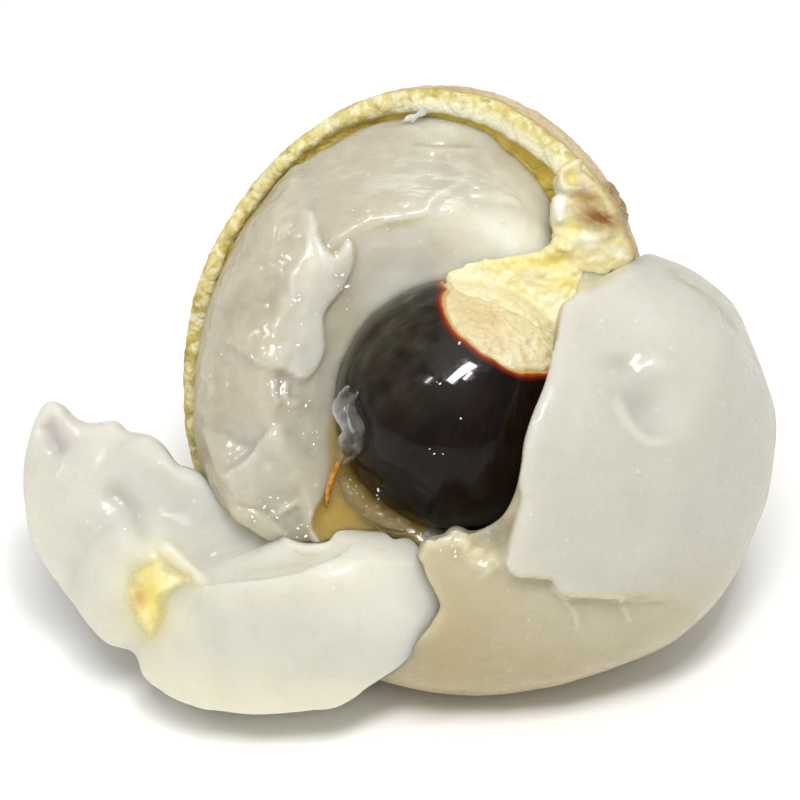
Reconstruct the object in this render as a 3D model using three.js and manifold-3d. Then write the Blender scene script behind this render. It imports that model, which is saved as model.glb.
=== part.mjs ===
// An opened longan fruit: the part of its rind that is left, the flesh torn open round the seed,
// and the flap of flesh that came off it and leans against it.
//
// Millimetres, +Z up. Everything is shaped in the fruit's own frame, where x runs to the right,
// y up along the rind and z out of the opening. The whole fruit is then tipped back by TIP, so that
// the opening looks forwards and up, and its soft underside is pressed flat where it lies on the
// ground. The origin is on the flat spot of the flesh.

import * as THREE from "three";
import { mergeVertices } from "three/addons/utils/BufferGeometryUtils.js";
import Module from "manifold-3d";

const wasm = await Module();
wasm.setup();
const rad = THREE.MathUtils.degToRad;

// ---------- driving dimensions ----------

const TIP = rad(52);
const PRESSED = 0.45; // how much the underside is pressed up by the ground
const GAP = 0.35; // clearance between neighbouring pieces
const FAR = 30; // past everything
const DETAIL = 8; // rows of facets along one edge of an egg's icosahedron
const LOBE_DETAIL = 6; // the same for the flap's lobes
const SMALL_DETAIL = 4; // and for the small pieces

const RIND = {
  centre: [-3.2, 15.05, 3.1],
  across: 12.25,
  along: 15.3,
  front: 12,
  back: 11.5,
  lean: -15,
};
const WALL = 0.9; // thickness of the rind
const RIM = {
  height: 2.9, // mean height of the torn edge over the rind's centre
  tilt: 3.3, // the edge reaches this much further on one side
  tiltTowards: 10,
  drop: 5, // and falls this far back underneath, behind the flap
  dropTowards: 255,
};
const STEM = { turn: 49, polar: 105, radius: 1.25, height: 0.45, hollow: 0.7, pit: 0.6, root: 0.5 };

const INNER_FLESH = {
  centre: [-4.4, 14.8, 3.1],
  across: 10.7,
  along: 13.9,
  front: 6.2,
  back: 10.5,
  lean: -10,
};
const OUTER_FLESH = {
  centre: [1.6, 9.95, 4.6],
  across: 14.3,
  along: 11.5,
  front: 9.2,
  back: 9.7,
  lean: 17,
};
const FOLD_RISE = 0.9; // the fold over the seed stands this far above the flesh below it

const SEED = { centre: [-0.8, 13.4, 7.1], radius: 6.5 };
const HILUM = { axis: [0.4, 0.76, 0.51], spread: 34, thickness: 0.7 };

// Edge of the hole in the flesh in front of the seed, anticlockwise from its lower right, and how
// far behind the seed's middle it reaches.
const OPENING = [
  [1.6, 6.6],
  [3.4, 12],
  [5.0, 18.6],
  [3.6, 21.6],
  [-1.6, 21.4],
  [-6.2, 20],
  [-7.9, 16],
  [-7.9, 11],
  [-8.6, 7.2],
  [-4, 6.5],
];
const OPENING_BEHIND = 0.5;

// The round hollow by which the flesh slopes down to the seed above that hole.
const BOWL = { centre: [-1.3, 16.7, 13], radius: 7.9 };

// Where the outer flesh is torn away beside that hole, down to TORN_DEPTH.
const TORN_SIDE = [
  [-7.6, 4],
  [-7.6, 10],
  [-7.4, 17],
  [-9, 26],
  [-20, 26],
  [-26, 10],
  [-20, -4],
  [-11, -1],
];
const TORN_DEPTH = 4;

// Edge of the fold that covers the right side of the seed.
const FOLD = [
  [6.6, 20.6],
  [4.6, 19],
  [3.9, 14.6],
  [2.6, 10.8],
  [1.8, 8],
  [1.4, 5.8],
  [5, 4.2],
  [10, 3.4],
  [16, 3.6],
  [20, 12],
  [16, 23],
  [8.8, 23],
];
const FOLD_ROOM = 1.07; // the rind leaves room for an outline that is this much wider

// Outline of the torn-off flap, clockwise from its curled tip.
const FLAP_OUTLINE = [
  [-22.6, 13],
  [-20.6, 12.2],
  [-18.4, 12.2],
  [-16.2, 10.8],
  [-14, 9.2],
  [-11, 7.2],
  [-7.6, 6.2],
  [-5, 6.8],
  [-2.9, 6],
  [-1.7, 3.3],
  [-3.4, 0.6],
  [-6.4, -1.6],
  [-11, -2.4],
  [-15.4, -1.4],
  [-17, 0.6],
  [-20, 2],
  [-22.6, 5],
  [-23.5, 9],
];
const FLAP_FOLD = {
  centre: [-8.6, 1.6, 5.2],
  across: 8.4,
  along: 5,
  front: 3.8,
  back: 3.4,
  lean: 14,
};
const FLAP_TIP = {
  centre: [-19.2, 6.6, 3.4],
  across: 5,
  along: 7.2,
  front: 2.2,
  back: 2.4,
  lean: 6,
};
const FLAP_SHEET = {
  centre: [-12.6, 6.2, 4.8],
  across: 8.6,
  along: 4.6,
  front: 1.3,
  back: 1.5,
  lean: -26,
};
const FLAP_ROOM = 2.6; // nothing of the fruit stands above this height behind the flap
const CORE = {
  centre: [-16.7, 3.3, 5.4],
  across: 1.3,
  along: 2.2,
  front: 0.9,
  back: 1.2,
  lean: 8,
};

const PLACENTA = {
  centre: [4.2, 21.2, 8.8],
  across: 3.5,
  along: 1.8,
  front: 1.6,
  back: 1.9,
  lean: 30,
};

// Where the two rolled films lie on the seed.
const UPPER_FILM = [
  [-6.5, 14.1],
  [-6.9, 12.6],
  [-6.6, 11],
];
const LOWER_FILM = [
  [-6.6, 10.3],
  [-5.9, 8.7],
  [-4.7, 7.6],
  [-3.6, 7.1],
];
const FILM_RADIUS = 0.42;

const COLOURS = {
  rind: 0xb9984f,
  flesh: 0xd8d2c0,
  flap: 0xe2dfd0,
  seed: 0x1b100c,
  hilum: 0xd9b48c,
  fibre: 0xd8bb45,
  film: 0xb9b0a2,
};

// ---------- solids ----------

// A closed geometry as a solid that can be cut and joined.
function solid(geometry) {
  const bare = geometry.clone();
  bare.deleteAttribute("normal");
  bare.deleteAttribute("uv");
  const merged = mergeVertices(bare, 1e-4);
  return new wasm.Manifold(
    new wasm.Mesh({
      numProp: 3,
      vertProperties: new Float32Array(merged.attributes.position.array),
      triVerts: new Uint32Array(merged.index.array),
    }),
  );
}

// Moves each vertex of a geometry by a formula of its place.
function shaped(geometry, formula) {
  const place = geometry.attributes.position;
  const v = new THREE.Vector3();
  for (let i = 0; i < place.count; i++) {
    v.fromBufferAttribute(place, i);
    formula(v);
    place.setXYZ(i, v.x, v.y, v.z);
  }
  return geometry;
}

// An egg that bulges differently to the front and the back, and leans in its own plane.
function egg({ centre, across, along, front, back, lean }, grow = 0, detail = DETAIL) {
  const ball = new THREE.IcosahedronGeometry(1, detail);
  shaped(ball, (v) => {
    const depth = v.z > 0 ? front : back;
    v.set(v.x * (across + grow), v.y * (along + grow), v.z * (depth + grow));
  });
  ball.rotateZ(rad(lean));
  ball.translate(...centre);
  return solid(ball);
}

function ball(centre, radius) {
  const sphere = new THREE.IcosahedronGeometry(radius, DETAIL);
  sphere.translate(...centre);
  return solid(sphere);
}

// A column along z whose outline is a smooth closed curve through the points.
function column(points, from, to, steps = 44) {
  const loop = new THREE.CatmullRomCurve3(
    points.map(([x, y]) => new THREE.Vector3(x, y, 0)),
    true,
  );
  const outline = new THREE.Shape(
    loop.getSpacedPoints(steps).slice(0, -1).map((p) => new THREE.Vector2(p.x, p.y)),
  );
  const block = new THREE.ExtrudeGeometry(outline, { depth: to - from, bevelEnabled: false });
  block.translate(0, 0, from);
  return solid(block);
}

// An outline made wider about the middle of its points.
function widened(points, share) {
  const middle = [0, 1].map((k) => points.reduce((sum, p) => sum + p[k], 0) / points.length);
  return points.map((p) => p.map((value, k) => middle[k] + (value - middle[k]) * share));
}

// A round strand along a smooth curve through the points.
function strand(points, radius, steps = 8, sides = 6) {
  const path = new THREE.CatmullRomCurve3(points.map((p) => new THREE.Vector3(...p)));
  const ring = new THREE.Shape();
  ring.absarc(0, 0, radius, 0, 2 * Math.PI);
  return solid(
    new THREE.ExtrudeGeometry(ring, { steps, extrudePath: path, curveSegments: sides / 2 }),
  );
}

// ---------- rind ----------

// The angle from the rind's back pole to its torn edge, at a turn about its axis.
function rimPolar(turn) {
  const tilt = RIM.tilt * Math.cos(turn - rad(RIM.tiltTowards));
  const drop = RIM.drop * Math.max(0, Math.cos(turn - rad(RIM.dropTowards))) ** 1.5;
  const ragged = 0.25 * Math.sin(5 * turn + 0.6) + 0.15 * Math.sin(11 * turn);
  return Math.acos(-(RIM.height + tilt - drop + ragged) / RIND.front);
}

// A point of the rind at a turn, a share of the way to its edge and a depth under its outside.
function onRind(turn, share, inward) {
  const polar = share * rimPolar(turn);
  return new THREE.Vector3(
    (RIND.across - inward) * Math.sin(polar) * Math.cos(turn),
    (RIND.along - inward) * Math.sin(polar) * Math.sin(turn),
    -(RIND.front - inward) * Math.cos(polar),
  );
}

// A unit cup of revolution whose wall is a tenth of its radius is drawn out to the rind's shape.
function rind() {
  const rows = 13;
  const turns = 54;
  const thin = 0.1;
  const profile = [];
  for (let i = 0; i <= rows; i++) profile.push([1, (i / rows) * 90]);
  profile.push([1 - thin / 2, 91.5]); // the edge is rounded a little
  for (let i = rows; i >= 0; i--) profile.push([1 - thin, (i / rows) * 90]);
  const cup = new THREE.LatheGeometry(
    profile.map(([r, a]) => new THREE.Vector2(r * Math.sin(rad(a)), -r * Math.cos(rad(a)))),
    turns,
  );
  cup.rotateX(rad(90));
  shaped(cup, (v) => {
    const r = v.length();
    const polar = Math.acos(THREE.MathUtils.clamp(-v.z / r, -1, 1));
    v.copy(onRind(Math.atan2(v.y, v.x), polar / rad(90), ((1 - r) / thin) * WALL));
  });
  cup.rotateZ(rad(RIND.lean));
  cup.translate(...RIND.centre);
  const foldRoom = egg(OUTER_FLESH, FOLD_RISE + GAP).intersect(
    column(widened(FOLD, FOLD_ROOM), -FAR, FAR),
  );
  return solid(cup).add(stemBase()).subtract(egg(OUTER_FLESH, GAP)).subtract(foldRoom);
}

// The woody ring that the stem left, standing on the outside of the rind.
function stemBase() {
  const polar = rad(STEM.polar);
  const turn = rad(STEM.turn);
  const foot = new THREE.Vector3(
    RIND.across * Math.sin(polar) * Math.cos(turn),
    RIND.along * Math.sin(polar) * Math.sin(turn),
    -RIND.front * Math.cos(polar),
  );
  const outward = new THREE.Vector3(
    foot.x / RIND.across ** 2,
    foot.y / RIND.along ** 2,
    foot.z / RIND.front ** 2,
  ).normalize();
  const profile = [
    [0, -STEM.root],
    [STEM.radius, -STEM.root],
    [STEM.radius * 0.8, STEM.height * 0.7],
    [(STEM.radius + STEM.hollow) / 2, STEM.height],
    [STEM.hollow, STEM.height * 0.7],
    [0, STEM.height - STEM.pit],
  ];
  const ring = new THREE.LatheGeometry(
    profile.map(([x, y]) => new THREE.Vector2(x, y)),
    18,
  );
  ring.applyQuaternion(
    new THREE.Quaternion().setFromUnitVectors(new THREE.Vector3(0, 1, 0), outward),
  );
  ring.translate(foot.x, foot.y, foot.z);
  ring.rotateZ(rad(RIND.lean));
  ring.translate(...RIND.centre);
  return solid(ring);
}

// ---------- torn-off flap ----------

// The flap in the round, or grown on all sides to make the room that it lies in.
function flap(grow = 0) {
  const lobes = [FLAP_FOLD, FLAP_TIP, FLAP_SHEET].map((lobe) => egg(lobe, grow, LOBE_DETAIL));
  const body = lobes[0].add(lobes[1]).add(lobes[2]);
  return grow > 0 ? body : body.intersect(column(FLAP_OUTLINE, -FAR, FAR));
}

// ---------- flesh ----------

function flesh() {
  const hole = column(OPENING, SEED.centre[2] - OPENING_BEHIND, FAR);
  const fold = egg(OUTER_FLESH, FOLD_RISE).intersect(column(FOLD, -FAR, FAR));
  const outer = egg(OUTER_FLESH).subtract(column(TORN_SIDE, TORN_DEPTH, FAR));
  return egg(INNER_FLESH)
    .intersect(egg(RIND, -WALL - GAP))
    .add(outer)
    .subtract(hole)
    .subtract(ball(BOWL.centre, BOWL.radius))
    .add(fold)
    .subtract(ball(SEED.centre, SEED.radius + GAP))
    .subtract(flap(GAP))
    .subtract(column(FLAP_OUTLINE, FLAP_ROOM, FAR))
    .subtract(egg(PLACENTA, GAP, SMALL_DETAIL))
    .subtract(film(UPPER_FILM, GAP))
    .subtract(film(LOWER_FILM, GAP));
}

// ---------- seed ----------

const hilumAxis = new THREE.Vector3(...HILUM.axis).normalize();

// A cone about the hilum's axis, from the seed's centre out past its surface.
function hilumCone(spread) {
  const length = 2 * SEED.radius;
  const cone = new THREE.ConeGeometry(length * Math.tan(rad(spread)), length, 24);
  cone.translate(0, -length / 2, 0);
  cone.rotateX(Math.PI);
  cone.applyQuaternion(
    new THREE.Quaternion().setFromUnitVectors(new THREE.Vector3(0, 1, 0), hilumAxis),
  );
  cone.translate(...SEED.centre);
  return solid(cone);
}

function seed() {
  const recess = ball(SEED.centre, SEED.radius + 1)
    .subtract(ball(SEED.centre, SEED.radius - HILUM.thickness - GAP))
    .intersect(hilumCone(HILUM.spread + 3));
  return ball(SEED.centre, SEED.radius).subtract(recess);
}

function hilum() {
  return ball(SEED.centre, SEED.radius)
    .subtract(ball(SEED.centre, SEED.radius - HILUM.thickness))
    .intersect(hilumCone(HILUM.spread));
}

// The yellow fibres that tie the seed to the rind under the stem.
function placenta() {
  return egg(PLACENTA, 0, SMALL_DETAIL)
    .intersect(egg(RIND, -WALL - GAP))
    .subtract(ball(SEED.centre, SEED.radius + GAP));
}

// A rolled film of skin that lies on the seed, or the room that it needs.
function film(points, grow = 0) {
  const away = SEED.radius + FILM_RADIUS + GAP;
  const [sx, sy, sz] = SEED.centre;
  const height = (x, y) => sz + Math.sqrt(away ** 2 - (x - sx) ** 2 - (y - sy) ** 2);
  const route = points.map(([x, y]) => [x, y, height(x, y)]);
  return strand(route, FILM_RADIUS + grow);
}

// ---------- model ----------

const longan = new THREE.Group();

// Tips a finished piece back, presses it into the ground, takes off what would reach below the
// ground and adds it by name.
function add(name, shape, colour, roughness) {
  const tipped = shape.rotate([THREE.MathUtils.radToDeg(TIP), 0, 0]).translate([0, 0, -PRESSED]);
  const ground = new THREE.BoxGeometry(4 * FAR, 4 * FAR, FAR);
  ground.translate(0, 0, -FAR / 2);
  const made = tipped.subtract(solid(ground)).getMesh();
  const geometry = new THREE.BufferGeometry();
  const place = new Float32Array(made.vertProperties);
  geometry.setAttribute("position", new THREE.BufferAttribute(place, 3));
  geometry.setIndex(new THREE.BufferAttribute(new Uint32Array(made.triVerts), 1));
  const material = new THREE.MeshStandardMaterial({ color: colour, roughness, metalness: 0 });
  const mesh = new THREE.Mesh(geometry, material);
  mesh.name = name;
  longan.add(mesh);
}

add("shell", rind(), COLOURS.rind, 0.8);
add("aril", flesh(), COLOURS.flesh, 0.3);
add("seed", seed(), COLOURS.seed, 0.15);
add("hilum", hilum(), COLOURS.hilum, 0.7);
add("placenta", placenta(), COLOURS.fibre, 0.7);
add("torn_flap", flap().subtract(egg(CORE, GAP, SMALL_DETAIL)), COLOURS.flap, 0.3);
add("flap_core", egg(CORE, 0, SMALL_DETAIL), COLOURS.fibre, 0.7);
add("upper_film", film(UPPER_FILM), COLOURS.film, 0.3);
add("lower_film", film(LOWER_FILM), COLOURS.film, 0.3);

export default longan;
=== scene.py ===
# %% [markdown]
# # An opened longan fruit
#
# A longan is a small round fruit with a thin brittle rind, clear juicy flesh and one hard dark
# seed. This one has been torn open: the rind is a deep cup, the flesh gapes round the seed, and a
# flap of flesh has come off and leans against it.
#
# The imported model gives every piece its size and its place. Here each piece is made again with a
# living surface, and given a finish.

# %% Load the model that everything is built around
import math

import bmesh
import bpy
import numpy as np
from mathutils import Matrix, Vector, kdtree, noise


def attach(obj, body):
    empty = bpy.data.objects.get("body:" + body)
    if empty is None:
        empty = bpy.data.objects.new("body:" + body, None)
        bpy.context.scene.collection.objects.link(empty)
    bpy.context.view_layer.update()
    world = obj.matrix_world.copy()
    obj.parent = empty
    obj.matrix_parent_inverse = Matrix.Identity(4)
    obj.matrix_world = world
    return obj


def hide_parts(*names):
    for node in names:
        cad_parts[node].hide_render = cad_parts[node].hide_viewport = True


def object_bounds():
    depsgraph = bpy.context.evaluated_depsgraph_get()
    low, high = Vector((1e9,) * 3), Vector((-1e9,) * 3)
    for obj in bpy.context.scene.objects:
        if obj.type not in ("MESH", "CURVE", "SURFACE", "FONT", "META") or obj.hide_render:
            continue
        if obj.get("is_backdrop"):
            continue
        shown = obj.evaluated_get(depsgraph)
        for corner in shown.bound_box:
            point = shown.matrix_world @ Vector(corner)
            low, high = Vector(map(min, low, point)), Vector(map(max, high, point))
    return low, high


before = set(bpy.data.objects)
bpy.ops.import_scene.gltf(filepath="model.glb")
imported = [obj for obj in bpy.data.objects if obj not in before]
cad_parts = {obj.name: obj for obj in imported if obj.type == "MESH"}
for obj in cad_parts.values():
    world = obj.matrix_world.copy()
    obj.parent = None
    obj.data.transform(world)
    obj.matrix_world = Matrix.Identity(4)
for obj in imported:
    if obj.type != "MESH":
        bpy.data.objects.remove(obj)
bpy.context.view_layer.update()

print("nodes:", ", ".join(sorted(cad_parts)))

# %% [markdown]
# ## The fruit's own frame
#
# Everything is shaped in millimetres in a frame of the fruit's own: x to the right, y up along the
# rind and z out of the opening, towards whoever looks in. A finished piece is then tipped back,
# pressed a little into the ground and brought to metres, in one matrix. So a crease is drawn where
# the eye sees it, as a line in x and y, and still lies on the real surface.

# %% From the fruit's frame to the model's
MM = 0.001
TIP = math.radians(52)
PRESSED = 0.45
TO_WORLD = (
    Matrix.Scale(MM, 4) @ Matrix.Translation((0, 0, -PRESSED)) @ Matrix.Rotation(TIP, 4, "X")
)
print("tipped back by", round(math.degrees(TIP)), "degrees")

# %% The camera looks straight into the opening
VIEW_CENTRE = Vector((-3.9, 13.624, 6.0))
VIEW_DISTANCE = 250
VIEW_WIDTH = 41.6  # millimetres across the view

eye = bpy.data.objects.new("eye", bpy.data.cameras.new("eye"))
bpy.context.scene.collection.objects.link(eye)
eye.location = TO_WORLD @ (VIEW_CENTRE + Vector((0, 0, VIEW_DISTANCE)))
eye.rotation_euler = (TIP, 0, 0)
eye.data.sensor_width = 36
eye.data.lens = eye.data.sensor_width * VIEW_DISTANCE / VIEW_WIDTH
eye.data.clip_start = 0.01
bpy.context.scene.camera = eye
print("lens:", round(eye.data.lens), "mm")

# %% [markdown]
# ## Forms and cuts
#
# Fruit has no corners, so nearly every form starts as an icosphere that is drawn out to an egg.
# Eggs are joined and cut with Boolean modifiers, and a voxel remesh then turns the result into one
# even skin of small faces. That skin is what the hands work on afterwards, like clay.

# %% A bmesh becomes a named object
def to_object(name, shape):
    for face in shape.faces:
        face.smooth = True
    mesh = bpy.data.meshes.new(name)
    shape.to_mesh(mesh)
    shape.free()
    made = bpy.data.objects.new(name, mesh)
    bpy.context.scene.collection.objects.link(made)
    return made


# %% An egg: a ball that bulges differently to the front and the back, and leans
def egg(centre, across, along, front, back, lean=0, grow=0, detail=6):
    shape = bmesh.new()
    bmesh.ops.create_icosphere(shape, subdivisions=detail, radius=1)
    for vert in shape.verts:
        depth = front if vert.co.z > 0 else back
        vert.co.x *= across + grow
        vert.co.y *= along + grow
        vert.co.z *= depth + grow
    bmesh.ops.rotate(shape, verts=shape.verts, matrix=Matrix.Rotation(math.radians(lean), 3, "Z"))
    bmesh.ops.translate(shape, verts=shape.verts, vec=centre)
    return to_object("egg", shape)


def ball(centre, radius, detail=6):
    return egg(centre, radius, radius, radius, radius, detail=detail)


# %% A smooth curve through a few points
def smooth_path(points, closed=False, steps=8):
    given = np.array(points, float)
    if closed:
        given = np.vstack([given[-1], given, given[:2]])
    else:
        given = np.vstack([2 * given[0] - given[1], given, 2 * given[-1] - given[-2]])
    t = np.linspace(0, 1, steps, endpoint=False)[:, None]
    pieces = []
    for a, b, c, d in zip(given, given[1:], given[2:], given[3:]):
        bend = 2 * a - 5 * b + 4 * c - d
        turn = 3 * b - a - 3 * c + d
        pieces.append(0.5 * (2 * b + (c - a) * t + bend * t**2 + turn * t**3))
    pieces.append(given[1:2] if closed else given[-2:-1])
    return np.vstack(pieces)


# %% A column along z with a smooth outline, which may change towards the top
def column(points, bottom, top, upper=None):
    foot_line = smooth_path(points, closed=True, steps=6)[:-1]
    head_line = smooth_path(upper or points, closed=True, steps=6)[:-1]
    shape = bmesh.new()
    foot = [shape.verts.new((x, y, bottom)) for x, y in foot_line]
    floor = shape.faces.new(foot)
    lifted = bmesh.ops.extrude_face_region(shape, geom=[floor])["geom"]
    head = [vert for vert in lifted if isinstance(vert, bmesh.types.BMVert)]
    for vert in head:
        nearest = min(range(len(foot)), key=lambda k: (foot[k].co - vert.co).length)
        vert.co = (*head_line[nearest], top)
    bmesh.ops.recalc_face_normals(shape, faces=shape.faces)
    return to_object("column", shape)


# %% An outline moved outwards, or with a negative distance inwards
def widened(points, by):
    line = smooth_path(points, closed=True, steps=4)[:-1]
    ahead = np.roll(line, -1, 0)
    along = ahead - np.roll(line, 1, 0)
    outward = np.stack([along[:, 1], -along[:, 0]], 1) / np.linalg.norm(along, axis=1)[:, None]
    area = np.sum(line[:, 0] * ahead[:, 1] - ahead[:, 0] * line[:, 1])
    return [tuple(point) for point in line + by * math.copysign(1, area) * outward]


# %% Modifiers are applied as soon as they are set
def settle(piece):
    graph = bpy.context.evaluated_depsgraph_get()
    mesh = bpy.data.meshes.new_from_object(piece.evaluated_get(graph), depsgraph=graph)
    piece.modifiers.clear()
    old, piece.data = piece.data, mesh
    bpy.data.meshes.remove(old)
    return piece


def modified(piece, kind, **settings):
    modifier = piece.modifiers.new(kind.title(), kind)
    for name, value in settings.items():
        setattr(modifier, name, value)
    return settle(piece)


# %% Joining and cutting uses the second shape up
def combine(piece, how, *others):
    for other in others:
        modified(piece, "BOOLEAN", object=other, operation=how, solver="MANIFOLD")
        bpy.data.objects.remove(other)
    return piece


def skin(piece, name, voxel, softness=4):
    piece.name = name
    modified(piece, "REMESH", mode="VOXEL", voxel_size=voxel, use_smooth_shade=True)
    modified(piece, "SMOOTH", factor=0.5, iterations=softness)
    return piece


# %% [markdown]
# ## Working the clay
#
# The torn edges, creases and dents of the flesh are drawn one by one. A displacement texture would
# crumple everything alike and could not put a tear where it belongs. So each is a stroke: a curve
# in the view of the opening, a width and a height. Points near the curve move along their normals.
# Spots, bands and outlines drawn in the same view are painted as attributes, which the materials
# read as masks.

# %% Distance from points to a path, how far along it they are, and on which side
def near(points, path, reach):
    away = np.full(len(points), 1e3)
    share = np.zeros(len(points))
    side = np.ones(len(points))
    low, high = path.min(0) - reach, path.max(0) + reach
    close = np.flatnonzero(((points[:, :2] > low) & (points[:, :2] < high)).all(1))
    spot = points[close, :2]
    run = np.append(0, np.cumsum(np.hypot(*np.diff(path, axis=0).T)))
    for k, (a, b) in enumerate(zip(path, path[1:])):
        step = b - a
        length = max(np.hypot(*step), 1e-9)
        t = np.clip(((spot - a) @ step) / length**2, 0, 1)
        gap = spot - a - t[:, None] * step
        distance = np.hypot(*gap.T)
        better = distance < away[close]
        chosen = close[better]
        away[chosen] = distance[better]
        share[chosen] = (run[k] + t[better] * length) / run[-1]
        left = step[0] * (spot[better, 1] - a[1]) - step[1] * (spot[better, 0] - a[0])
        side[chosen] = np.where(left >= 0, 1, -1)
    return away, share, side


# %% A rounded step from 0 to 1, and a grain of natural unevenness
def rise(value, start, end):
    t = np.clip((value - start) / (end - start), 0, 1)
    return t * t * (3 - 2 * t)


def uneven(points, size, seed):
    """A fractal noise of two octaves, moved to a place of its own by the seed."""
    shift = Vector((17.3 * seed, -9.1 * seed, 5.7 * seed))
    return np.array([noise.fractal(Vector(p) / size + shift, 1.0, 2.0, 2) for p in points])


# %% The clay itself
class Clay:
    """The points of a mesh, pushed along their normals and painted."""

    def __init__(self, piece):
        self.mesh = piece.data
        self.points = np.zeros(3 * len(self.mesh.vertices))
        self.mesh.vertices.foreach_get("co", self.points)
        self.points = self.points.reshape(-1, 3)
        self.look()

    def look(self):
        self.mesh.vertices.foreach_set("co", self.points.ravel())
        self.mesh.update()
        self.normals = np.zeros(3 * len(self.mesh.vertices))
        self.mesh.vertices.foreach_get("normal", self.normals)
        self.normals = self.normals.reshape(-1, 3)
        self.facing = rise(self.upward, -0.1, 0.3)

    @property
    def x(self):
        return self.points[:, 0]

    @property
    def y(self):
        return self.points[:, 1]

    @property
    def z(self):
        return self.points[:, 2]

    @property
    def upward(self):
        """How far the surface at each point faces the view, from -1 to 1."""
        return self.normals[:, 2]

    def uneven(self, size, seed):
        return uneven(self.points, size, seed)

    def spot(self, centre, across, along=None, turn=0):
        """A soft round or oval spot."""
        x, y = self.x - centre[0], self.y - centre[1]
        c, s = math.cos(math.radians(turn)), math.sin(math.radians(turn))
        u, v = (c * x + s * y) / across, (c * y - s * x) / (along or across)
        return np.exp(-(u**2 + v**2))

    def inside(self, outline, soft):
        """1 inside a closed outline and 0 outside it, with a soft border."""
        path = smooth_path(outline, closed=True)
        away = near(self.points, path, 3 * soft + 1)[0]
        within = np.zeros(len(self.points), bool)
        for (ax, ay), (bx, by) in zip(path, path[1:]):
            crosses = (ay > self.y) != (by > self.y)
            within ^= crosses & (self.x < (bx - ax) * (self.y - ay) / (by - ay + 1e-12) + ax)
        return rise(np.where(within, away, -away), -soft, soft)

    def band(self, line, width, reach=2):
        """A soft band along a line, which is only worked out within its reach."""
        away = near(self.points, smooth_path(line), reach)[0]
        return np.exp(-((away / width) ** 2))

    def push(self, height, everywhere=False):
        if not everywhere:
            height = height * self.facing
        self.points += self.normals * height[:, None]

    def stroke(self, points, width, height, fade=0.25):
        """A ridge, or with a negative height a crease, that fades towards its ends."""
        away, share, _ = near(self.points, smooth_path(points), 3 * width)
        ends = rise(share, 0, fade) * rise(1 - share, 0, fade)
        self.push(height * ends * np.exp(-((away / width) ** 2)))

    def ledge(self, points, height, sharp, reach, fade=0.2):
        """A torn layer: the surface steps up on the left of the line and sinks back further on."""
        away, share, side = near(self.points, smooth_path(points), 3 * reach)
        ends = rise(share, 0, fade) * rise(1 - share, 0, fade)
        beyond = away * side
        self.push(height * ends * rise(beyond, -sharp, sharp) * np.exp(-((away / reach) ** 2)))

    def soften(self, share, rounds):
        """Each point moves towards the middle of its neighbours, as far as its share says."""
        ends = np.zeros(2 * len(self.mesh.edges), np.int32)
        self.mesh.edges.foreach_get("vertices", ends)
        first, second = ends.reshape(-1, 2).T
        here, there = np.append(first, second), np.append(second, first)
        total = len(self.points)
        count = np.maximum(np.bincount(here, minlength=total), 1)
        for _ in range(rounds):
            for axis in range(3):
                value = self.points[:, axis]
                middle = np.bincount(here, value[there], total) / count
                self.points[:, axis] = value + 0.5 * share * (middle - value)
        self.look()

    def roughen(self, *grains, share=1, everywhere=True):
        """Pushes by grains of unevenness, each with its height, its size and its seed."""
        height = sum(high * self.uneven(size, seed) for high, size, seed in grains)
        self.push(height * share, everywhere)
        self.look()

    def draw(self, *lines):
        """One stroke after another, each with its points, its width and its height."""
        for points, *measures in lines:
            self.stroke(points, *measures)

    def paint(self, **masks):
        for name, value in masks.items():
            layer = self.mesh.attributes.new(name, "FLOAT", "POINT")
            layer.data.foreach_set("value", np.clip(value, 0, 1).astype(np.float32))


# %% A finished piece goes to its place in the model
def finish(piece, node_names, material):
    world = np.array(TO_WORLD)
    clay = Clay(piece)
    placed = clay.points @ world[:3, :3].T + world[:3, 3]
    placed[:, 2] = np.maximum(placed[:, 2], 0)  # the ground presses the underside flat
    piece.data.vertices.foreach_set("co", placed.ravel())
    piece.data.update()
    piece.data.shade_smooth()
    piece.data.materials.clear()
    piece.data.materials.append(material)
    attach(piece, "root")
    if node_names:
        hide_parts(*node_names)
    piece.data.calc_loop_triangles()
    print(f"{piece.name}: {len(piece.data.loop_triangles)} triangles")


# %% [markdown]
# ## Node groups
#
# Flesh, films and fibres share three effects: fine fibres drawn out in one direction, small spots,
# and the wet film of juice that catches the light. Each is a node group, built once. Positions come
# from Object coordinates in metres, so the groups take them in millimetres.

# %% Helpers that add and link nodes
def set_inputs(tree, sockets, inputs):
    """Links what comes out of a node, and sets what is a plain value."""
    for socket, value in inputs.items():
        if isinstance(value, bpy.types.NodeSocket):
            tree.links.new(value, sockets[socket])
        else:
            sockets[socket].default_value = value


def put(tree, kind, inputs=None, **settings):
    node = tree.nodes.new("ShaderNode" + kind)
    for name, value in settings.items():
        setattr(node, name, value)
    set_inputs(tree, node.inputs, inputs or {})
    return node


# %% Sums, soft steps and blends of what the nodes give
def math_node(tree, operation, first, second=0.0, clamp=False):
    return put(tree, "Math", {0: first, 1: second}, operation=operation, use_clamp=clamp).outputs[0]


def times(tree, first, second):
    return math_node(tree, "MULTIPLY", first, second)


def plus(tree, first, second, clamp=False):
    return math_node(tree, "ADD", first, second, clamp)


def ramp(tree, value, start, end, low=0.0, high=1.0):
    return put(
        tree,
        "MapRange",
        {"Value": value, "From Min": start, "From Max": end, "To Min": low, "To Max": high},
        interpolation_type="SMOOTHSTEP",
    ).outputs[0]


def blend(tree, share, first, second):
    node = put(tree, "Mix", {0: share, 6: first, 7: second}, data_type="RGBA")
    return node.outputs[2]


# %% Where a point lies, a cloudy noise, and the masks that the clay was painted with
def millimetres(tree):
    place = put(tree, "TexCoord").outputs["Object"]
    return put(tree, "VectorMath", {0: place, 3: 1 / MM}, operation="SCALE").outputs[0]


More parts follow.
